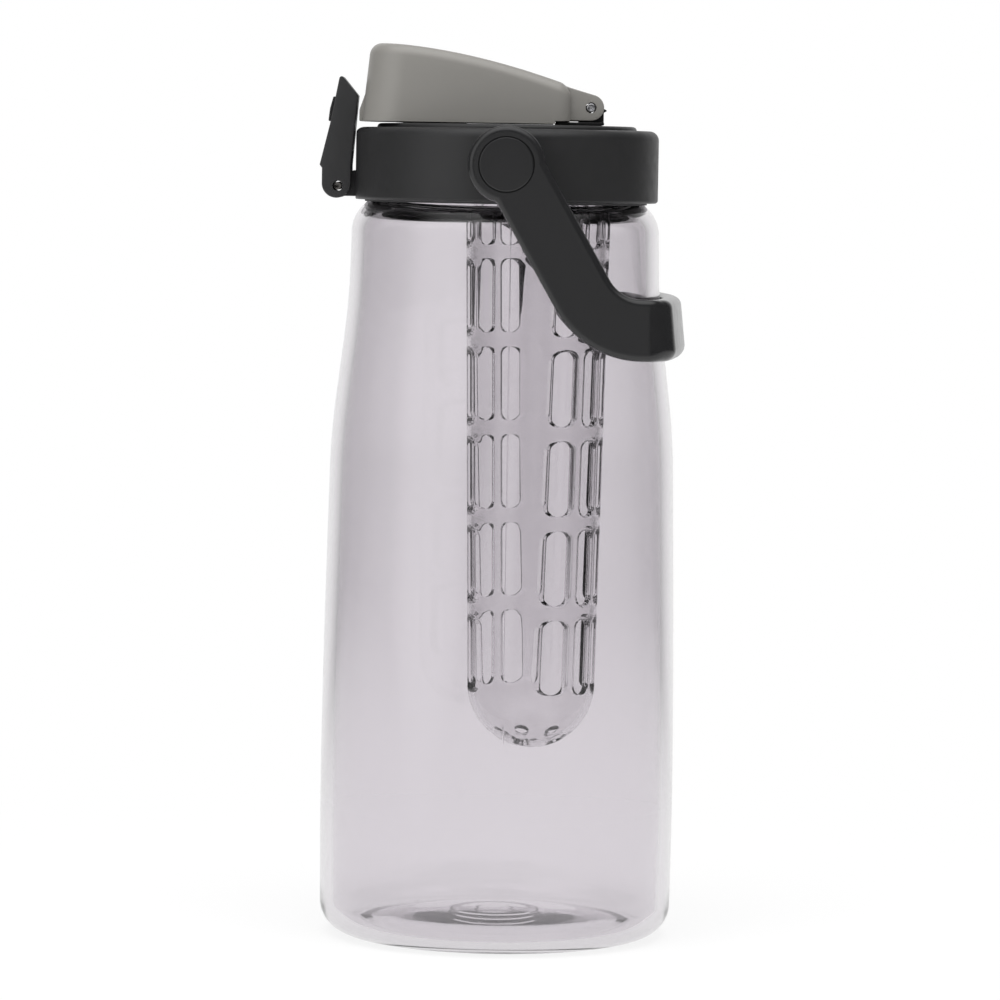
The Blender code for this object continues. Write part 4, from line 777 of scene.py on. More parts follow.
# An outer and an inner skin joined round the bottom edge and closed across the roof, then lip, ears and boss.
def flipCap():
    outer = capSkin(0)
    inner = capSkin(cap["wall"])
    rows, columns = outer.shape[:2]
    size = rows * columns
    half = columns // 2
    faces = quads(rows, columns, False).tolist()
    faces += (quads(rows, columns, False) + size).tolist()
    edge = np.arange(columns)
    beside = (edge + 1) % columns
    faces += np.column_stack((edge, beside, beside + size, edge + size)).tolist()
    first = (rows - 1) * columns
    step = np.arange(half - 1)
    across = first + columns - 1 - step
    strip = np.column_stack((first + step, first + step + 1, across - 1, across))
    faces += strip.tolist() + (strip + size).tolist()
    points = np.concatenate((outer.reshape(-1, 3), inner.reshape(-1, 3)))
    piece = solid("flipCap", points, faces, cap["sharp"])
    x, z, radius = hinge["x"], hinge["z"], hinge["earRadius"]
    rear, low, lean = cap["rear"], cap["low"], cap["lean"] * cap["lipHeight"] / cap["height"]
    root = rear - hinge["earRoot"]
    ear = np.concatenate((arc(x, z, radius, -90, cap["earTop"], cap["earSteps"]), [
        (rear, capRoof(rear) - cap["joined"]), (root, capRoof(root) - cap["joined"]), (root, z - radius)]))
    lipTop = low + cap["lipHeight"]
    front = cap["front"] - cap["lip"]
    back = cap["front"] + cap["wall"] - cap["lipJoined"]
    lip = softened([
        (front, low, cap["edgeEase"]), (back, low, 0), (back + lean, lipTop, 0),
        (cap["front"] + lean + cap["lipJoined"], lipTop, 0),
        (front, low + cap["lipStraight"], cap["lipBend"])])
    combined(piece, slab("lip", lip, -cap["lipHalf"], cap["lipHalf"], cap["lipEase"]), "UNION")
    bothSides(piece, ear, hinge["earInner"], hinge["earOuter"], "UNION", cap["edgeEase"])
    roof = capRoof(deck["spoutX"]) - cap["wall"] + cap["joined"]
    end = cap["seat"] - cap["stud"]
    boss = [(0, end), (cap["stud"], end), (cap["stud"], cap["seat"]), (cap["boss"], cap["seat"]),
            (cap["boss"], roof), (0, roof)]
    combined(piece, turned("boss", boss, cap["bossFacets"], deck["spoutX"]), "UNION")
    bored(piece, x, z, hinge["hole"], cap["holeHalf"])
    notch = rectangle(x - hinge["front"] - cap["cutGap"], x, low - cap["cutDrop"], low + cap["notch"])
    combined(piece, slab("notch", notch, -cap["cutHalf"], cap["cutHalf"]), "DIFFERENCE")
    placed(piece, "flip_cap", "cap", "grey")


flipCap()
print("cap")


# Snap latch

# The lever's outer face at a rise over the pin, on the line from the back to the tip's bend.
def faceAcross(rise):
    tipZ = latch["tipRise"] - latch["tipRadius"]
    tipX = latch["pinX"] + latch["tipShift"]
    backX = latch["pinX"] - latch["backOut"]
    share = (rise - latch["backRise"]) / (tipZ - latch["backRise"])
    return backX + (tipX - backX) * share


# The pad's side view from a depth behind the face to where it stands proud, with a bulge at its middle.
def padOutline(depth, proud, grow, bend):
    low = latch["padLow"] - grow
    high = latch["padHigh"] + grow
    middle = (low + high) / 2
    base = latch["pinZ"]
    return softened([
        (faceAcross(low) - depth, base + low, 0), (faceAcross(high) - depth, base + high, 0),
        (faceAcross(high) - proud, base + high, bend),
        (faceAcross(middle) - proud - latch["padBulge"], base + middle, latch["padBend"] if bend else 0),
        (faceAcross(low) - proud, base + low, bend)])


# The lever's side view runs round its foot, up the front, over the tip and down the rear with its catch lip.
def latchPieces():
    x, z, radius, easeSteps = latch["pinX"], latch["pinZ"], latch["footRadius"], latch["easeSteps"]
    footX = x - latch["footShift"]
    tipX = x + latch["tipShift"] + latch["tipRadius"]
    tipTop = z + latch["tipRise"]
    lipZ = z + latch["lipRise"]
    foot = arc(footX, z + latch["footRise"], radius, 180, 360, latch["footSteps"])
    front = softened([
        (*foot[-1], 0), (footX + radius, z + latch["kneeRise"], latch["kneeBend"]),
        (latch["shoulderX"], z + latch["shoulderRise"], latch["shoulderBend"]),
        (tipX, tipTop, 0)], easeSteps)[1:-1]
    tipRadius = latch["tipRadius"]
    tip = arc(tipX, tipTop - tipRadius, tipRadius, latch["tipStart"], latch["tipEnd"], easeSteps)
    rear = softened([
        (*tip[-1], 0), (x - latch["backOut"], z + latch["backRise"], latch["backBend"]),
        (x - latch["lipOut"], lipZ, latch["lipBend"]),
        (footX - radius, lipZ - latch["lipTuck"], latch["lipBend"]), (*foot[0], 0)], easeSteps)[1:-1]
    outline = np.concatenate((foot, front, tip, rear))
    piece = slab("latchLever", outline, -latch["half"], latch["half"], latch["edge"])
    farLeft = x - latch["lipOut"] - latch["cutFar"]
    skin = footX - radius + latch["skin"]
    low, high, opened = z - radius - latch["cutFar"], z + latch["channelRise"], z + latch["openRise"]
    channel = [(farLeft, low), (latch["channelEnd"], low), (latch["channelEnd"], high), (skin, high),
               (skin, opened), (farLeft, opened)]
    combined(piece, slab("channel", channel, -latch["channelHalf"], latch["channelHalf"]), "DIFFERENCE")
    bored(piece, x, z, latch["hole"], latch["cutHalf"])
    recess = padOutline(-latch["padRecess"], latch["cutFar"], latch["padGap"], 0)
    half = latch["padHalf"] + latch["padGap"]
    combined(piece, slab("recess", recess, -half, half), "DIFFERENCE")
    placed(piece, "latch_lever", "latch", "lever")
    seat = latch["padGap"] - latch["padRecess"]
    ease = latch["padEase"]
    pad = padOutline(seat, seat + latch["padThickness"], 0, ease)
    placed(slab("latchPad", pad, -latch["padHalf"], latch["padHalf"], ease), "latch_pad", "latch", "black")
    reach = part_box("latch_pin")[1].y
    ease = latch["pinEase"]
    end = [
        (0, reach - latch["pinCup"], 0), (latch["pinRadius"] - latch["pinRim"], reach, ease),
        (latch["pinRadius"], reach, ease)]
    # The latch pin takes the darkened steel, whose dark colour is painted shade of its recess.
    placed(pinned("latchPin", end, latch["pinFacets"], x, z), "latch_pin", "lid", "pin")


latchPieces()
print("latch")


# Carry handle

grip = {
    "pivot": 0.246033, "eye": 0.0120, "angle": 60.24, "arm": 0.00954, "offset": 0.00124, "straight": 0.04656,
    "bend": 0.02119, "inner": 0.0503, "outer": 0.0560, "lean": 0.0016, "corner": 0.0090, "bow": 10.0,
    "edge": 0.0019, "innerEdge": 0.0012, "footEdge": 0.0038, "headEdge": 0.0024, "guard": 0.0003,
    "eyeSteps": 57, "armSteps": 44, "cornerSteps": 22, "bowSteps": 32, "edgeSteps": 5,
    "seatGap": 0.0003, "overrun": 0.004, "stemHole": 0.0048, "headHole": 0.00875, "holeFacets": 96,
    "buttonThickness": 0.0024, "button": 0.00845, "stem": 0.0045, "buttonEdge": 0.0005, "stemEnd": 0.0459,
    "stemEase": 0.0003, "headEase": 0.0002, "buttonFacets": 128, "buttonSteps": 8, "fade": 0.5, "sharp": 40,
}


# The arm's side view drawn in by an inset: where it lies across, and its lowest and highest points there.
# The eye is a disc; a straight strip leaves it downwards and an arc turns the strip level.
def armSpan(inset, cornerX):
    slope = math.radians(grip["angle"])
    eye = grip["eye"] - inset
    arm = grip["arm"] - inset
    turn = math.pi / 2 - slope
    first = turn - np.arccos((grip["offset"] + arm) / eye)
    last = math.pi + turn + np.arccos((arm - grip["offset"]) / eye)
    reach = grip["offset"] + grip["bend"]
    bendX = math.sin(slope) * reach + math.cos(slope) * grip["straight"]
    bendZ = math.cos(slope) * reach - math.sin(slope) * grip["straight"]
    step = np.arange(grip["eyeSteps"] + grip["armSteps"] + 1)[:, None]
    sweep = np.minimum(step / grip["eyeSteps"], 1)
    share = np.maximum(step / grip["eyeSteps"] - 1, 0) * grip["eyeSteps"] / grip["armSteps"]
    x = -eye * np.cos(sweep * (math.pi - first))
    x = x + (cornerX - x) * share
    rim = np.sqrt(np.maximum(eye ** 2 - x ** 2, 0))
    spans = []
    for side, edge in ((1, eye * np.cos(first)), (-1, eye * np.cos(last))):
        straight = (grip["offset"] + side * arm - x * math.sin(slope)) / math.cos(slope)
        radius = grip["bend"] - side * arm
        away = np.minimum(x - bendX, 0)
        curve = bendZ - np.sqrt(np.maximum(radius ** 2 - away ** 2, 0))
        strip = np.where(away > -radius * math.sin(slope), curve, straight)
        spans.append(np.where(x <= edge, side * rim, strip))
    return x, spans[1] + grip["pivot"], spans[0] + grip["pivot"]


# A ring of the rounded section runs up the outer face, over the head, down the inner face and under the foot.
# Each arm's rings stand at places across; those of the bar turn about the plan's corners and its bow.
def carryHandle():
    low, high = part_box("carry_handle")
    thickness = grip["outer"] - grip["inner"]
    bow = math.radians(grip["bow"])
    cornerY = grip["outer"] - grip["corner"]
    reach = cornerY / math.sin(bow)
    bowX = high.x - grip["corner"] - reach
    cornerX = bowX + reach * math.cos(bow)
    turns = np.concatenate((
        np.linspace(-math.pi / 2, -bow, grip["cornerSteps"] + 1)[1:-1],
        np.linspace(-bow, bow, grip["bowSteps"] + 1),
        np.linspace(bow, math.pi / 2, grip["cornerSteps"] + 1)[1:-1]))
    inBow = np.abs(turns) <= bow + nothing
    middleX = np.where(inBow, bowX, cornerX)
    middleY = np.where(inBow, 0, np.sign(turns) * cornerY)
    radius = np.where(inBow, reach, 0) + grip["corner"]
    stations = grip["eyeSteps"] + grip["armSteps"] + 1
    blend = np.clip((1 - np.abs(turns) / (math.pi / 2)) / grip["fade"], 0, 1)
    whole = np.concatenate((np.zeros(stations), blend * blend * (3 - 2 * blend), np.zeros(stations)))[:, None]
    foot = grip["edge"] + (grip["footEdge"] - grip["edge"]) * whole
    head = grip["edge"] + (grip["headEdge"] - grip["edge"]) * whole
    inner = grip["innerEdge"] + 0 * whole
    angles = np.linspace(0, math.pi / 2, grip["edgeSteps"] + 1)[None, :]
    guard = grip["guard"]
    corners = []
    for edge, top, outside in ((head, 1, True), (inner, 1, False), (inner, 0, False), (foot, 0, True)):
        inset = np.concatenate((edge + guard, edge * (1 - np.sin(angles))), 1)
        depth = np.concatenate((0 * edge, edge * (1 - np.cos(angles))), 1)
        if not outside:
            depth = thickness - depth
        if outside != (top == 1):
            inset, depth = inset[:, ::-1], depth[:, ::-1]
        corners.append((inset, depth, top))
    rings = []
    for inset, depth, top in corners:
        armInset = inset[:stations]
        x, lowest, highest = armSpan(armInset, cornerX)
        height = highest if top else lowest
        near = np.stack((x, depth[:stations] - grip["outer"], height), -1)
        far = np.stack((x[::-1], grip["outer"] - depth[:stations][::-1], height[::-1]), -1)
        barInset = inset[stations:-stations]
        level = armSpan(barInset[:1] * 0, cornerX)[1 + top][-1, 0]
        rise = level + barInset * (-1 if top else 1)
        share = np.maximum(rise - low.z - grip["footEdge"], 0) / (2 * grip["arm"] - grip["footEdge"])
        out = radius[:, None] - depth[stations:-stations] - grip["lean"] * whole[stations:-stations] * share
        across = middleX[:, None] + out * np.cos(turns)[:, None]
        bar = np.stack((across, middleY[:, None] + out * np.sin(turns)[:, None], rise), -1)
        rings.append(np.concatenate((near, bar, far)))
    points = np.concatenate(rings, 1)
    piece = solid("carryHandle", points, quads(len(points), points.shape[1], False).tolist(), grip["sharp"])
    seat = grip["outer"] - grip["buttonThickness"] - grip["seatGap"]
    start, end = grip["inner"] - grip["overrun"], grip["outer"] + grip["overrun"]
    hole = [(0, start), (grip["stemHole"], start), (grip["stemHole"], seat), (grip["headHole"], seat),
            (grip["headHole"], end), (0, end)]
    for turn in (-1, 1):
        tool = laid(turned("hole", hole, grip["holeFacets"]), 0, grip["pivot"], turn)
        combined(piece, tool, "DIFFERENCE")
    placed(piece, "carry_handle", "handle", "handle")


# A round head on a stem, turned and laid along Y at each side.
def pivotButtons():
    head = grip["outer"] - grip["buttonThickness"]
    outline = softened([
        (0, grip["stemEnd"], 0), (grip["stem"], grip["stemEnd"], grip["stemEase"]), (grip["stem"], head, 0),
        (grip["button"], head, grip["headEase"]), (grip["button"], grip["outer"], grip["buttonEdge"]),
        (0, grip["outer"], 0)], grip["buttonSteps"])
    for name, node, turn in (("buttonNear", "pivot_button_near", -1), ("buttonFar", "pivot_button_far", 1)):
        piece = laid(turned(name, outline, grip["buttonFacets"]), 0, grip["pivot"], turn)
        placed(piece, node, "lid", "handle")


carryHandle()
pivotButtons()
print("handle")


# Infuser

tube = {
    "x": 0.0105, "neck": 0.0220, "radius": 0.0233, "endRadius": 0.0204, "wall": 0.0018, "turn": 63.6,
    "shoulder": 0.245016, "ledge": 0.0006, "slotWidth": 0.0061, "slotHeight": 0.0237, "slotBend": 0.0028,
    "pitch": 0.02835, "first": 0.0187, "rows": 6, "columns": 4, "columnPitch": 0.0091, "fillet": 0.0006,
    "outerBorders": (-66, -24.5, 0, 24.5, 66, 114, 155.5, 180, 204.5, 246, 294),
    "innerBorders": (-77, -27, 0, 27, 77, 103, 153, 180, 207, 257, 283),
    "across": 16, "up": 20, "cornerSteps": 4, "drain": 0.0022, "drainRing": 0.0093, "drainCount": 5,
    "drainInner": 0.0050, "drainOuter": 0.0132, "drainStart": -62.4, "gap": 0.0002, "rimEase": 0.0003,
    "rimSteps": 4, "blends": (0, 0.35, 0.7, 1), "bends": (30, 60, 90), "steepest": 0.9995,
    "wallShares": (0.34, 0.67), "endRows": 14, "drainUp": 12, "drainBlends": (0, 0.4, 0.75, 1, 1, 1),
    "drainGrows": (1, 1, 1, 1, 0.4, 0), "drainSinks": (0, 0, 0, 0, 0.2, 1), "middleRows": 6,
    "middleEase": 0.0001, "middleSink": 0.3, "gasketDepth": 0.0019, "gasketEase": 0.0003, "gasketFacets": 144,
    "sharp": 35,
}


# Points round a rectangle (or, with a bend, a rounded one) from its lower left corner, side by side.
def framePoints(halfWidth, halfHeight, bend, across, up, steps):
    if not bend:
        run = np.linspace(-1, 1, across, endpoint=False)
        climb = np.linspace(-1, 1, up, endpoint=False)
        return np.concatenate((
            np.column_stack((run * halfWidth, 0 * run - halfHeight)),
            np.column_stack((0 * climb + halfWidth, climb * halfHeight)),
            np.column_stack((-run * halfWidth, 0 * run + halfHeight)),
            np.column_stack((0 * climb - halfWidth, -climb * halfHeight))))
    w, h = halfWidth - bend, halfHeight - bend
    sides = []
    for turn, spanAcross, count in ((0, w, across), (1, h, up), (2, w, across), (3, h, up)):
        run = np.linspace(-1, 1, count - 2 * steps + 1) * spanAcross
        reach = (h if turn % 2 == 0 else w) + bend
        start = arc(-spanAcross, -(reach - bend), bend, 225, 270, steps)[:-1]
        middle = np.column_stack((run, 0 * run - reach))
        end = arc(spanAcross, -(reach - bend), bend, 270, 315, steps)[1:-1]
        part = np.concatenate((start, middle, end))
        c, s = ((1, 0), (0, 1), (-1, 0), (0, -1))[turn]
        sides.append(np.column_stack((part[:, 0] * c - part[:, 1] * s, part[:, 0] * s + part[:, 1] * c)))
    return np.concatenate(sides)


# The tube's outer or inner radius at a height: a cone over a round end.
def tubeRadius(height, inset, axis):
    share = (height - axis) / (tube["shoulder"] - axis)
    cone = tube["endRadius"] + (tube["radius"] - tube["endRadius"]) * share
    end = np.sqrt(np.maximum((tube["endRadius"] - inset) ** 2 - (axis - height) ** 2, 0))
    return np.where(height >= axis, cone - inset, end)


# Across and out from the tube's own axis, turned by the mould's angle into the row frame.
def spun(across, out, height):
    mould = math.radians(tube["turn"])
    return np.stack((
        tube["x"] + across * math.cos(mould) - out * math.sin(mould),
        across * math.sin(mould) + out * math.cos(mould), height + 0 * across), -1)


# The same from an angle and a radius: across is the radius times the sine, out times the cosine.
def wrapped(angle, radius, height):
    return spun(radius * np.sin(angle), radius * np.cos(angle), height)


# The angles of the whole round, border to border.
def roundAngles(borders):
    return np.radians(np.linspace(borders[:-1], borders[1:], tube["across"], endpoint=False, axis=1).ravel())


# The slot's outline grown all round.
def slotFrame(grow):
    return framePoints(
        tube["slotWidth"] / 2 + grow, tube["slotHeight"] / 2 + grow, tube["slotBend"] + grow,
        tube["across"], tube["up"], tube["cornerSteps"])


# Rings over one side of a slot's cell, wrapped on the tube: from the cell's borders by shares to the grown
# slot, then round the fillet, which draws in by one less the sine and sinks by one less the cosine.
def slotRings(inset, span, middle, borders, centre, axis):
    fillet = tube["fillet"]
    frame = framePoints(1, 1, 0, tube["across"], tube["up"], 0)
    low, high = span
    left, right = np.radians(borders)
    height = (low + high) / 2 + frame[:, 1] * (high - low) / 2
    angle = (left + right) / 2 + frame[:, 0] * (right - left) / 2
    grown = slotFrame(fillet)
    slotZ = middle + grown[:, 1]
    slotAcross = (centre + grown[:, 0]) / tubeRadius(slotZ, inset, axis)
    slotTurn = np.arcsin(np.clip(slotAcross, -tube["steepest"], tube["steepest"]))
    rings = []
    for blend in tube["blends"]:
        turn = angle + (slotTurn - angle) * blend
        z = height + (slotZ - height) * blend
        radius = tubeRadius(z, inset, axis)
        rings.append((radius * np.sin(turn), radius * np.cos(turn), z))
    for bend in np.radians(tube["bends"]):
        slot = slotFrame(fillet * (1 - math.sin(bend)))
        z = middle + slot[:, 1]
        across = centre + slot[:, 0]
        out = np.sqrt(np.maximum(tubeRadius(z, inset, axis) ** 2 - across ** 2, nothing))
        sink = fillet * (1 - math.cos(bend)) * (-1 if inset else 1)
        rings.append((across, out - sink, z))
    return np.array(rings)


# One net for each slot, over its outer side, through the wall and back over its inner side, on both faces.
def slotNets(edges, start, axis):
    nets = []
    for row in range(tube["rows"]):
        middle = start + tube["pitch"] * row + tube["slotHeight"] / 2
        for column in range(tube["columns"]):
            centre = tube["columnPitch"] * (column - (tube["columns"] - 1) / 2)
            outer, inner = [
                slotRings(inset, edges[row:row + 2], middle, borders[column:column + 2], centre, axis)
                for inset, borders in ((0, tube["outerBorders"]), (tube["wall"], tube["innerBorders"]))]
            walls = [outer[-1] * (1 - share) + inner[-1] * share for share in tube["wallShares"]]
            whole = np.concatenate((outer, walls, inner[::-1]))
            for face in (1, -1):
                nets.append(spun(face * whole[:, 0], face * whole[:, 1], whole[:, 2]))
    return nets


# Plain strips between the two faces' slots, their rows at the same heights as the cells' sides.
def stripNets(edges, rounds, axis):
    levels = np.linspace(edges[:-1], edges[1:], tube["up"], endpoint=False, axis=1).ravel()
    levels = np.append(levels, edges[-1])
    nets = []
    for inset, angles in rounds:
        for start in (tube["columns"] * tube["across"], (2 * tube["columns"] + 1) * tube["across"]):
            turns = angles[np.arange(start, start + tube["across"] + 1) % len(angles)][None, :]
            nets.append(wrapped(turns, tubeRadius(levels, inset, axis)[:, None], levels[:, None] + 0 * turns))
    return nets


# Above the slots: out to the shoulder, up the neck, over the rim and down inside.
def neckNet(edge, top, rounds, axis):
    (_, outerAngles), (_, innerAngles) = rounds
    shoulder, ease, rimSteps = tube["shoulder"], tube["rimEase"], tube["rimSteps"]
    bore = tube["neck"] - tube["wall"]
    ledge = shoulder - tube["ledge"]
    outerEdge, innerEdge = tubeRadius(edge, 0, axis), tubeRadius(edge, tube["wall"], axis)
    outline = np.concatenate((
        [(outerEdge, edge)], arc(tube["radius"] - ease, shoulder - ease, ease, 0, 90, rimSteps),
        [(tube["neck"], shoulder)], arc(tube["neck"] - ease, top - ease, ease, 0, 90, rimSteps),
        arc(bore + ease, top - ease, ease, 90, 180, rimSteps),
        [(bore, ledge), (innerEdge, ledge), (innerEdge, edge)]))
    share = np.linspace(0, 1, len(outline))[:, None]
    angles = outerAngles + (innerAngles - outerAngles) * share
    return wrapped(angles, outline[:, :1], outline[:, 1:] + 0 * angles)


# The round end under the slots: a ball whose rings ease from the tube's angles to even ones.
def endNets(edge, rounds, even, axis):
    nets = []
    share = np.linspace(0, 1, tube["endRows"])[:, None]
    for inset, angles in rounds:
        ball = tube["endRadius"] - inset
        first, last = math.asin((axis - edge) / ball), math.acos(tube["drainOuter"] / ball)
        turn = first + (last - first) * share
        turns = angles + (even - angles) * share * share * (3 - 2 * share)
        nets.append(wrapped(turns, ball * np.cos(turn), axis - ball * np.sin(turn) + 0 * turns))
    return nets


# A drain hole in one sector of the ball: from its borders by shares to the grown hole, then round its edge.
def drainNet(index, across, axis):
    sector = 2 * math.pi / tube["drainCount"]
    middle = math.radians(tube["drainStart"]) + sector * (index + 0.5)
    frame = framePoints(1, 1, 0, across, tube["drainUp"], 0)
    inner, outer = tube["drainInner"], tube["drainOuter"]
    radius = (inner + outer) / 2 + frame[:, 1] * (outer - inner) / 2
    angle = middle + frame[:, 0] * sector / 2
    corner = np.arctan2(frame[:, 1], frame[:, 0]) - middle
    sides = []
    for inset in (0, tube["wall"]):
        rings = []
        for blend, grow, sink in zip(tube["drainBlends"], tube["drainGrows"], tube["drainSinks"]):
            hole = tube["drain"] + tube["fillet"] * grow
            a = tube["drainRing"] * math.sin(middle) + hole * np.cos(corner)
            b = tube["drainRing"] * math.cos(middle) + hole * np.sin(corner)
            holeAngle = middle + np.angle(np.exp(1j * (np.arctan2(a, b) - middle)))
            turn = angle + (holeAngle - angle) * blend
            reach = radius + (np.hypot(a, b) - radius) * blend
            z = axis - np.sqrt((tube["endRadius"] - inset) ** 2 - reach ** 2)
            rings.append(wrapped(turn, reach, z + tube["fillet"] * sink * (-1 if inset else 1)))
        sides.append(rings)
    return np.array(sides[0] + sides[1][::-1])


# The ball's middle, in to the drain at its pole, through it and back out inside.
def middleNet(even, axis):
    fillet, drain = tube["fillet"], tube["drain"]
    reaches = np.linspace(tube["drainInner"], drain + fillet, tube["middleRows"])
    reaches = np.append(reaches, (drain + tube["middleEase"], drain))[:, None]
    sinks = np.append(np.zeros(tube["middleRows"]), (fillet * tube["middleSink"], fillet))[:, None]
    sides = []
    for inset, side in ((0, 1), (tube["wall"], -1)):
        z = axis - np.sqrt((tube["endRadius"] - inset) ** 2 - reaches ** 2) + sinks * side
        sides.append(wrapped(even + 0 * reaches, reaches, z + 0 * even))
    return np.concatenate((sides[0], sides[1][::-1]))


# Every net joined at its borders; the strips alone are open from side to side.
def infuserTube():
    low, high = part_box("infuser_tube")
    axis = low.z + tube["endRadius"]
    start = low.z + tube["first"]
    edges = start + tube["pitch"] * np.arange(tube["rows"] + 1) - (tube["pitch"] - tube["slotHeight"]) / 2
    edges[-1] = tube["shoulder"] - tube["ledge"] - tube["gap"]
    rounds = ((0, roundAngles(tube["outerBorders"])), (tube["wall"], roundAngles(tube["innerBorders"])))
    count = len(rounds[0][1])
    even = np.radians(tube["drainStart"] + np.arange(count) * 360 / count)
    nets = [(net, True) for net in slotNets(edges, start, axis)]
    nets += [(net, False) for net in stripNets(edges, rounds, axis)]
    closed = [neckNet(edges[-1], high.z, rounds, axis), *endNets(edges[0], rounds, even, axis)]
    closed += [drainNet(index, count // tube["drainCount"], axis) for index in range(tube["drainCount"])]
    closed.append(middleNet(even, axis))
    nets += [(net, True) for net in closed]
    points, faces, begin = [], [], 0
    for net, isRound in nets:
        rows, columns = net.shape[:2]
        cells = quads(rows, columns, False).reshape(rows - 1, columns, 4) + begin
        faces += (cells if isRound else cells[:, :-1]).reshape(-1, 4).tolist()
        points.append(net.reshape(-1, 3))
        begin += rows * columns
    piece = solid("infuserTube", np.concatenate(points), faces, tube["sharp"])
    placed(piece, "infuser_tube", "infuser", "infuser")


# A ring round the infuser's neck in its socket.
def infuserGasket():
    low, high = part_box("infuser_gasket")
    inner = tube["neck"] - tube["gasketDepth"]
    outline = softened(rectangle(inner, tube["neck"], low.z, high.z, tube["gasketEase"]))
    piece = turned("infuserGasket", outline, tube["gasketFacets"], tube["x"])
    placed(piece, "infuser_gasket", "infuser", "soft")


infuserTube()
infuserGasket()
print("infuser")


# Room

studio = {
    "diffuse": 0.55, "camera": 1.0, "front": 0.04, "back": 1.0, "frontEdge": 0.50, "backEdge": 0.95,
    "glows": (
        ((-0.74, -0.62, 0.26), (0.82, 0.98), 1.0),
        ((0.0, -0.25, 0.97), (0.60, 0.95), 1.5),
        ((0.0, -1.0, 0.0), (0.975, 0.995), 0.34),
    ),
    "lamps": (
        ("leftLamp", (-1.05, -1.15, 0.62), (1.00, 1.60), 7.5),
        ("rightLamp", (1.40, -0.90, 0.55), (0.60, 1.40), 3.0),
        ("topLamp", (0.0, -0.35, 1.25), (1.20, 0.80), 13.0),
    ),
    "aim": (0, 0, 0.15),
}
ground = {
    "reach": 6.0, "drop": 0.0002, "colour": (0.95, 0.95, 0.95, 1), "roughness": 0.8, "nearShare": 0.86,
    "near": 0.06, "far": 0.34, "gleam": 1.0, "gleamNear": 0.12, "gleamFar": 2.0,
}


# Two values put through one step of arithmetic; each is a number or an output.
def reckoned(tree, operation, first, second):
    return added(tree, "Math", {0: first, 1: second}, operation=operation).outputs[0]


# How bright the room is along a direction: dark in front of the jug, white behind it, plus soft glows.
def roomGroup():
    group, given, taken = grouped("room", {"Direction": "Vector"}, {"Level": "Float"})
    even = added(group, "VectorMath", {0: given["Direction"]}, operation="NORMALIZE").outputs["Vector"]
    parts = added(group, "SeparateXYZ", {"Vector": even})
    edges, levels = (studio["frontEdge"], studio["backEdge"]), (studio["front"], studio["back"])
    level = ranged(group, parts.outputs["Y"], edges, levels, "SMOOTHSTEP")
    for way, edges, strength in studio["glows"]:
        near = added(group, "VectorMath", {0: even, 1: Vector(way).normalized()}, operation="DOT_PRODUCT")
        glow = ranged(group, near.outputs["Value"], edges, (0.0, strength), "SMOOTHSTEP")
        level = reckoned(group, "ADD", level, glow)
    fed(group, taken, {"Level": level})
    return group


room = roomGroup()


# The room's level along the coordinates of one kind.
def roomLevel(tree, kind):
    return added(tree, "Group", {"Direction": coordinates(tree, kind)}, node_tree=room).outputs["Level"]


# The level for one kind of ray in place of the level so far.
def swapped(tree, kind, level, before):
    ray = added(tree, "LightPath", {}).outputs[kind]
    return added(tree, "Mix", {"Factor": ray, "A": before, "B": level}).outputs["Result"]


# White for the camera; reflections see the room's level or the gleam near the jug. A diffuse share keeps the
# shadow.
def floorFinish():
    made = bpy.data.materials.new("paleFloor")
    made.use_nodes = True
    tree = made.node_tree
    shader = fed(tree, tree.nodes["Principled BSDF"], {
        "Base Color": ground["colour"], "Roughness": ground["roughness"], "Specular IOR Level": 0.0})
    away = added(tree, "VectorMath", {0: coordinates(tree, "Object")}, operation="LENGTH").outputs["Value"]
    edges, levels = (ground["gleamNear"], ground["gleamFar"]), (ground["gleam"], studio["front"])
    gleam = ranged(tree, away, edges, levels, "SMOOTHSTEP")
    level = reckoned(tree, "MAXIMUM", roomLevel(tree, "Object"), gleam)
    glow = added(tree, "Emission", {"Strength": swapped(tree, "Is Camera Ray", studio["camera"], level)})
    edges, levels = (ground["near"], ground["far"]), (ground["nearShare"], 1.0)
    share = ranged(tree, away, edges, levels, "SMOOTHSTEP")
    ray = added(tree, "LightPath", {})
    direct = reckoned(tree, "SUBTRACT", 1.0, ray.outputs["Is Diffuse Ray"])
    share = reckoned(tree, "MULTIPLY", share, direct)
    mix = added(tree, "MixShader", {0: share, 1: shader.outputs[0], 2: glow.outputs[0]})
    fed(tree, tree.nodes["Material Output"], {"Surface": mix.outputs[0]})
    return made


# A wide plane just under the foot.
def groundPlane():
    reach = ground["reach"]
    data = bpy.data.meshes.new("floor")
    corners = [(-reach, -reach, 0), (reach, -reach, 0), (reach, reach, 0), (-reach, reach, 0)]
    data.from_pydata(corners, [], [(0, 1, 2, 3)])
    plane = bpy.data.objects.new("floor", data)
    plane.location.z = -ground["drop"]
    data.materials.append(floorFinish())
    bpy.context.collection.objects.link(plane)


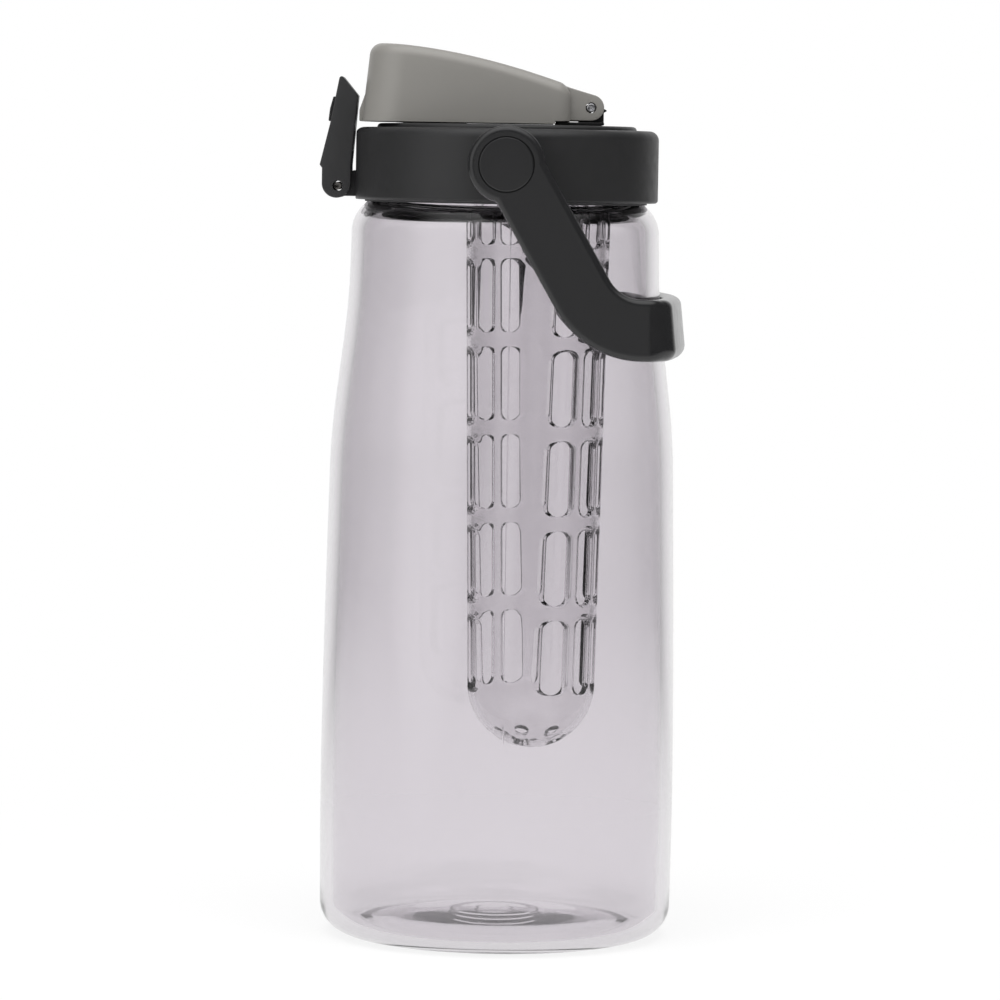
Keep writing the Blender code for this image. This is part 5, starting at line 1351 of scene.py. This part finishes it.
# The world: plain for diffuse rays, white for the camera, the room's level for reflected and refracted rays.
def studioWorld():
    made = bpy.data.worlds.new("studio")
    bpy.context.scene.world = made
    made.use_nodes = True
    tree = made.node_tree
    seen = roomLevel(tree, "Generated")
    level = swapped(tree, "Is Diffuse Ray", studio["diffuse"], studio["camera"])
    level = swapped(tree, "Is Glossy Ray", seen, level)
    level = swapped(tree, "Is Transmission Ray", seen, level)
    fed(tree, tree.nodes["Background"], {"Color": (1, 1, 1, 1), "Strength": level})


# Lamps that light the pieces and aren't seen in them.
def studioLamps():
    aim = Vector(studio["aim"])
    for name, spot, size, power in studio["lamps"]:
        data = bpy.data.lights.new(name, "AREA")
        data.shape = "RECTANGLE"
        data.size, data.size_y = size
        data.energy = power
        lamp = bpy.data.objects.new(name, data)
        lamp.location = spot
        lamp.rotation_euler = (aim - Vector(spot)).to_track_quat("-Z", "Y").to_euler()
        lamp.visible_transmission = False
        lamp.visible_glossy = False
        bpy.context.collection.objects.link(lamp)


groundPlane()
studioWorld()
studioLamps()
print("studio")


# Camera

shot = {
    "lens": 174.6, "sensor": 36.0, "near": 0.01, "distance": 1.552, "pitch": 4.0, "roll": 0.93,
    "height": 0.13888, "aside": 0.00032,
}
bounces = {"max_bounces": 24, "transmission_bounces": 24, "glossy_bounces": 8, "diffuse_bounces": 4}


# A level view along +Y, pitched down and rolled, set back from the point it looks at.
def camera():
    pitch = math.radians(shot["pitch"])
    roll = math.radians(shot["roll"])
    ahead = Vector((0, math.cos(pitch), -math.sin(pitch)))
    above = Vector((0, math.sin(pitch), math.cos(pitch)))
    flat = Vector((1, 0, 0))
    right = flat * math.cos(roll) + above * math.sin(roll)
    upward = above * math.cos(roll) - flat * math.sin(roll)
    made = bpy.data.cameras.new("camera")
    made.lens = shot["lens"]
    made.sensor_width = shot["sensor"]
    made.clip_start = shot["near"]
    eye = bpy.data.objects.new("camera", made)
    place = Vector((0, 0, shot["height"])) - ahead * shot["distance"] - right * shot["aside"]
    turn = Matrix((right, upward, -ahead)).transposed().to_4x4()
    eye.matrix_world = Matrix.Translation(place) @ turn
    bpy.context.collection.objects.link(eye)
    bpy.context.scene.camera = eye


camera()
scene = bpy.context.scene
scene.view_settings.view_transform = "Standard"
for name, count in bounces.items():
    setattr(scene.cycles, name, count)
print("camera")
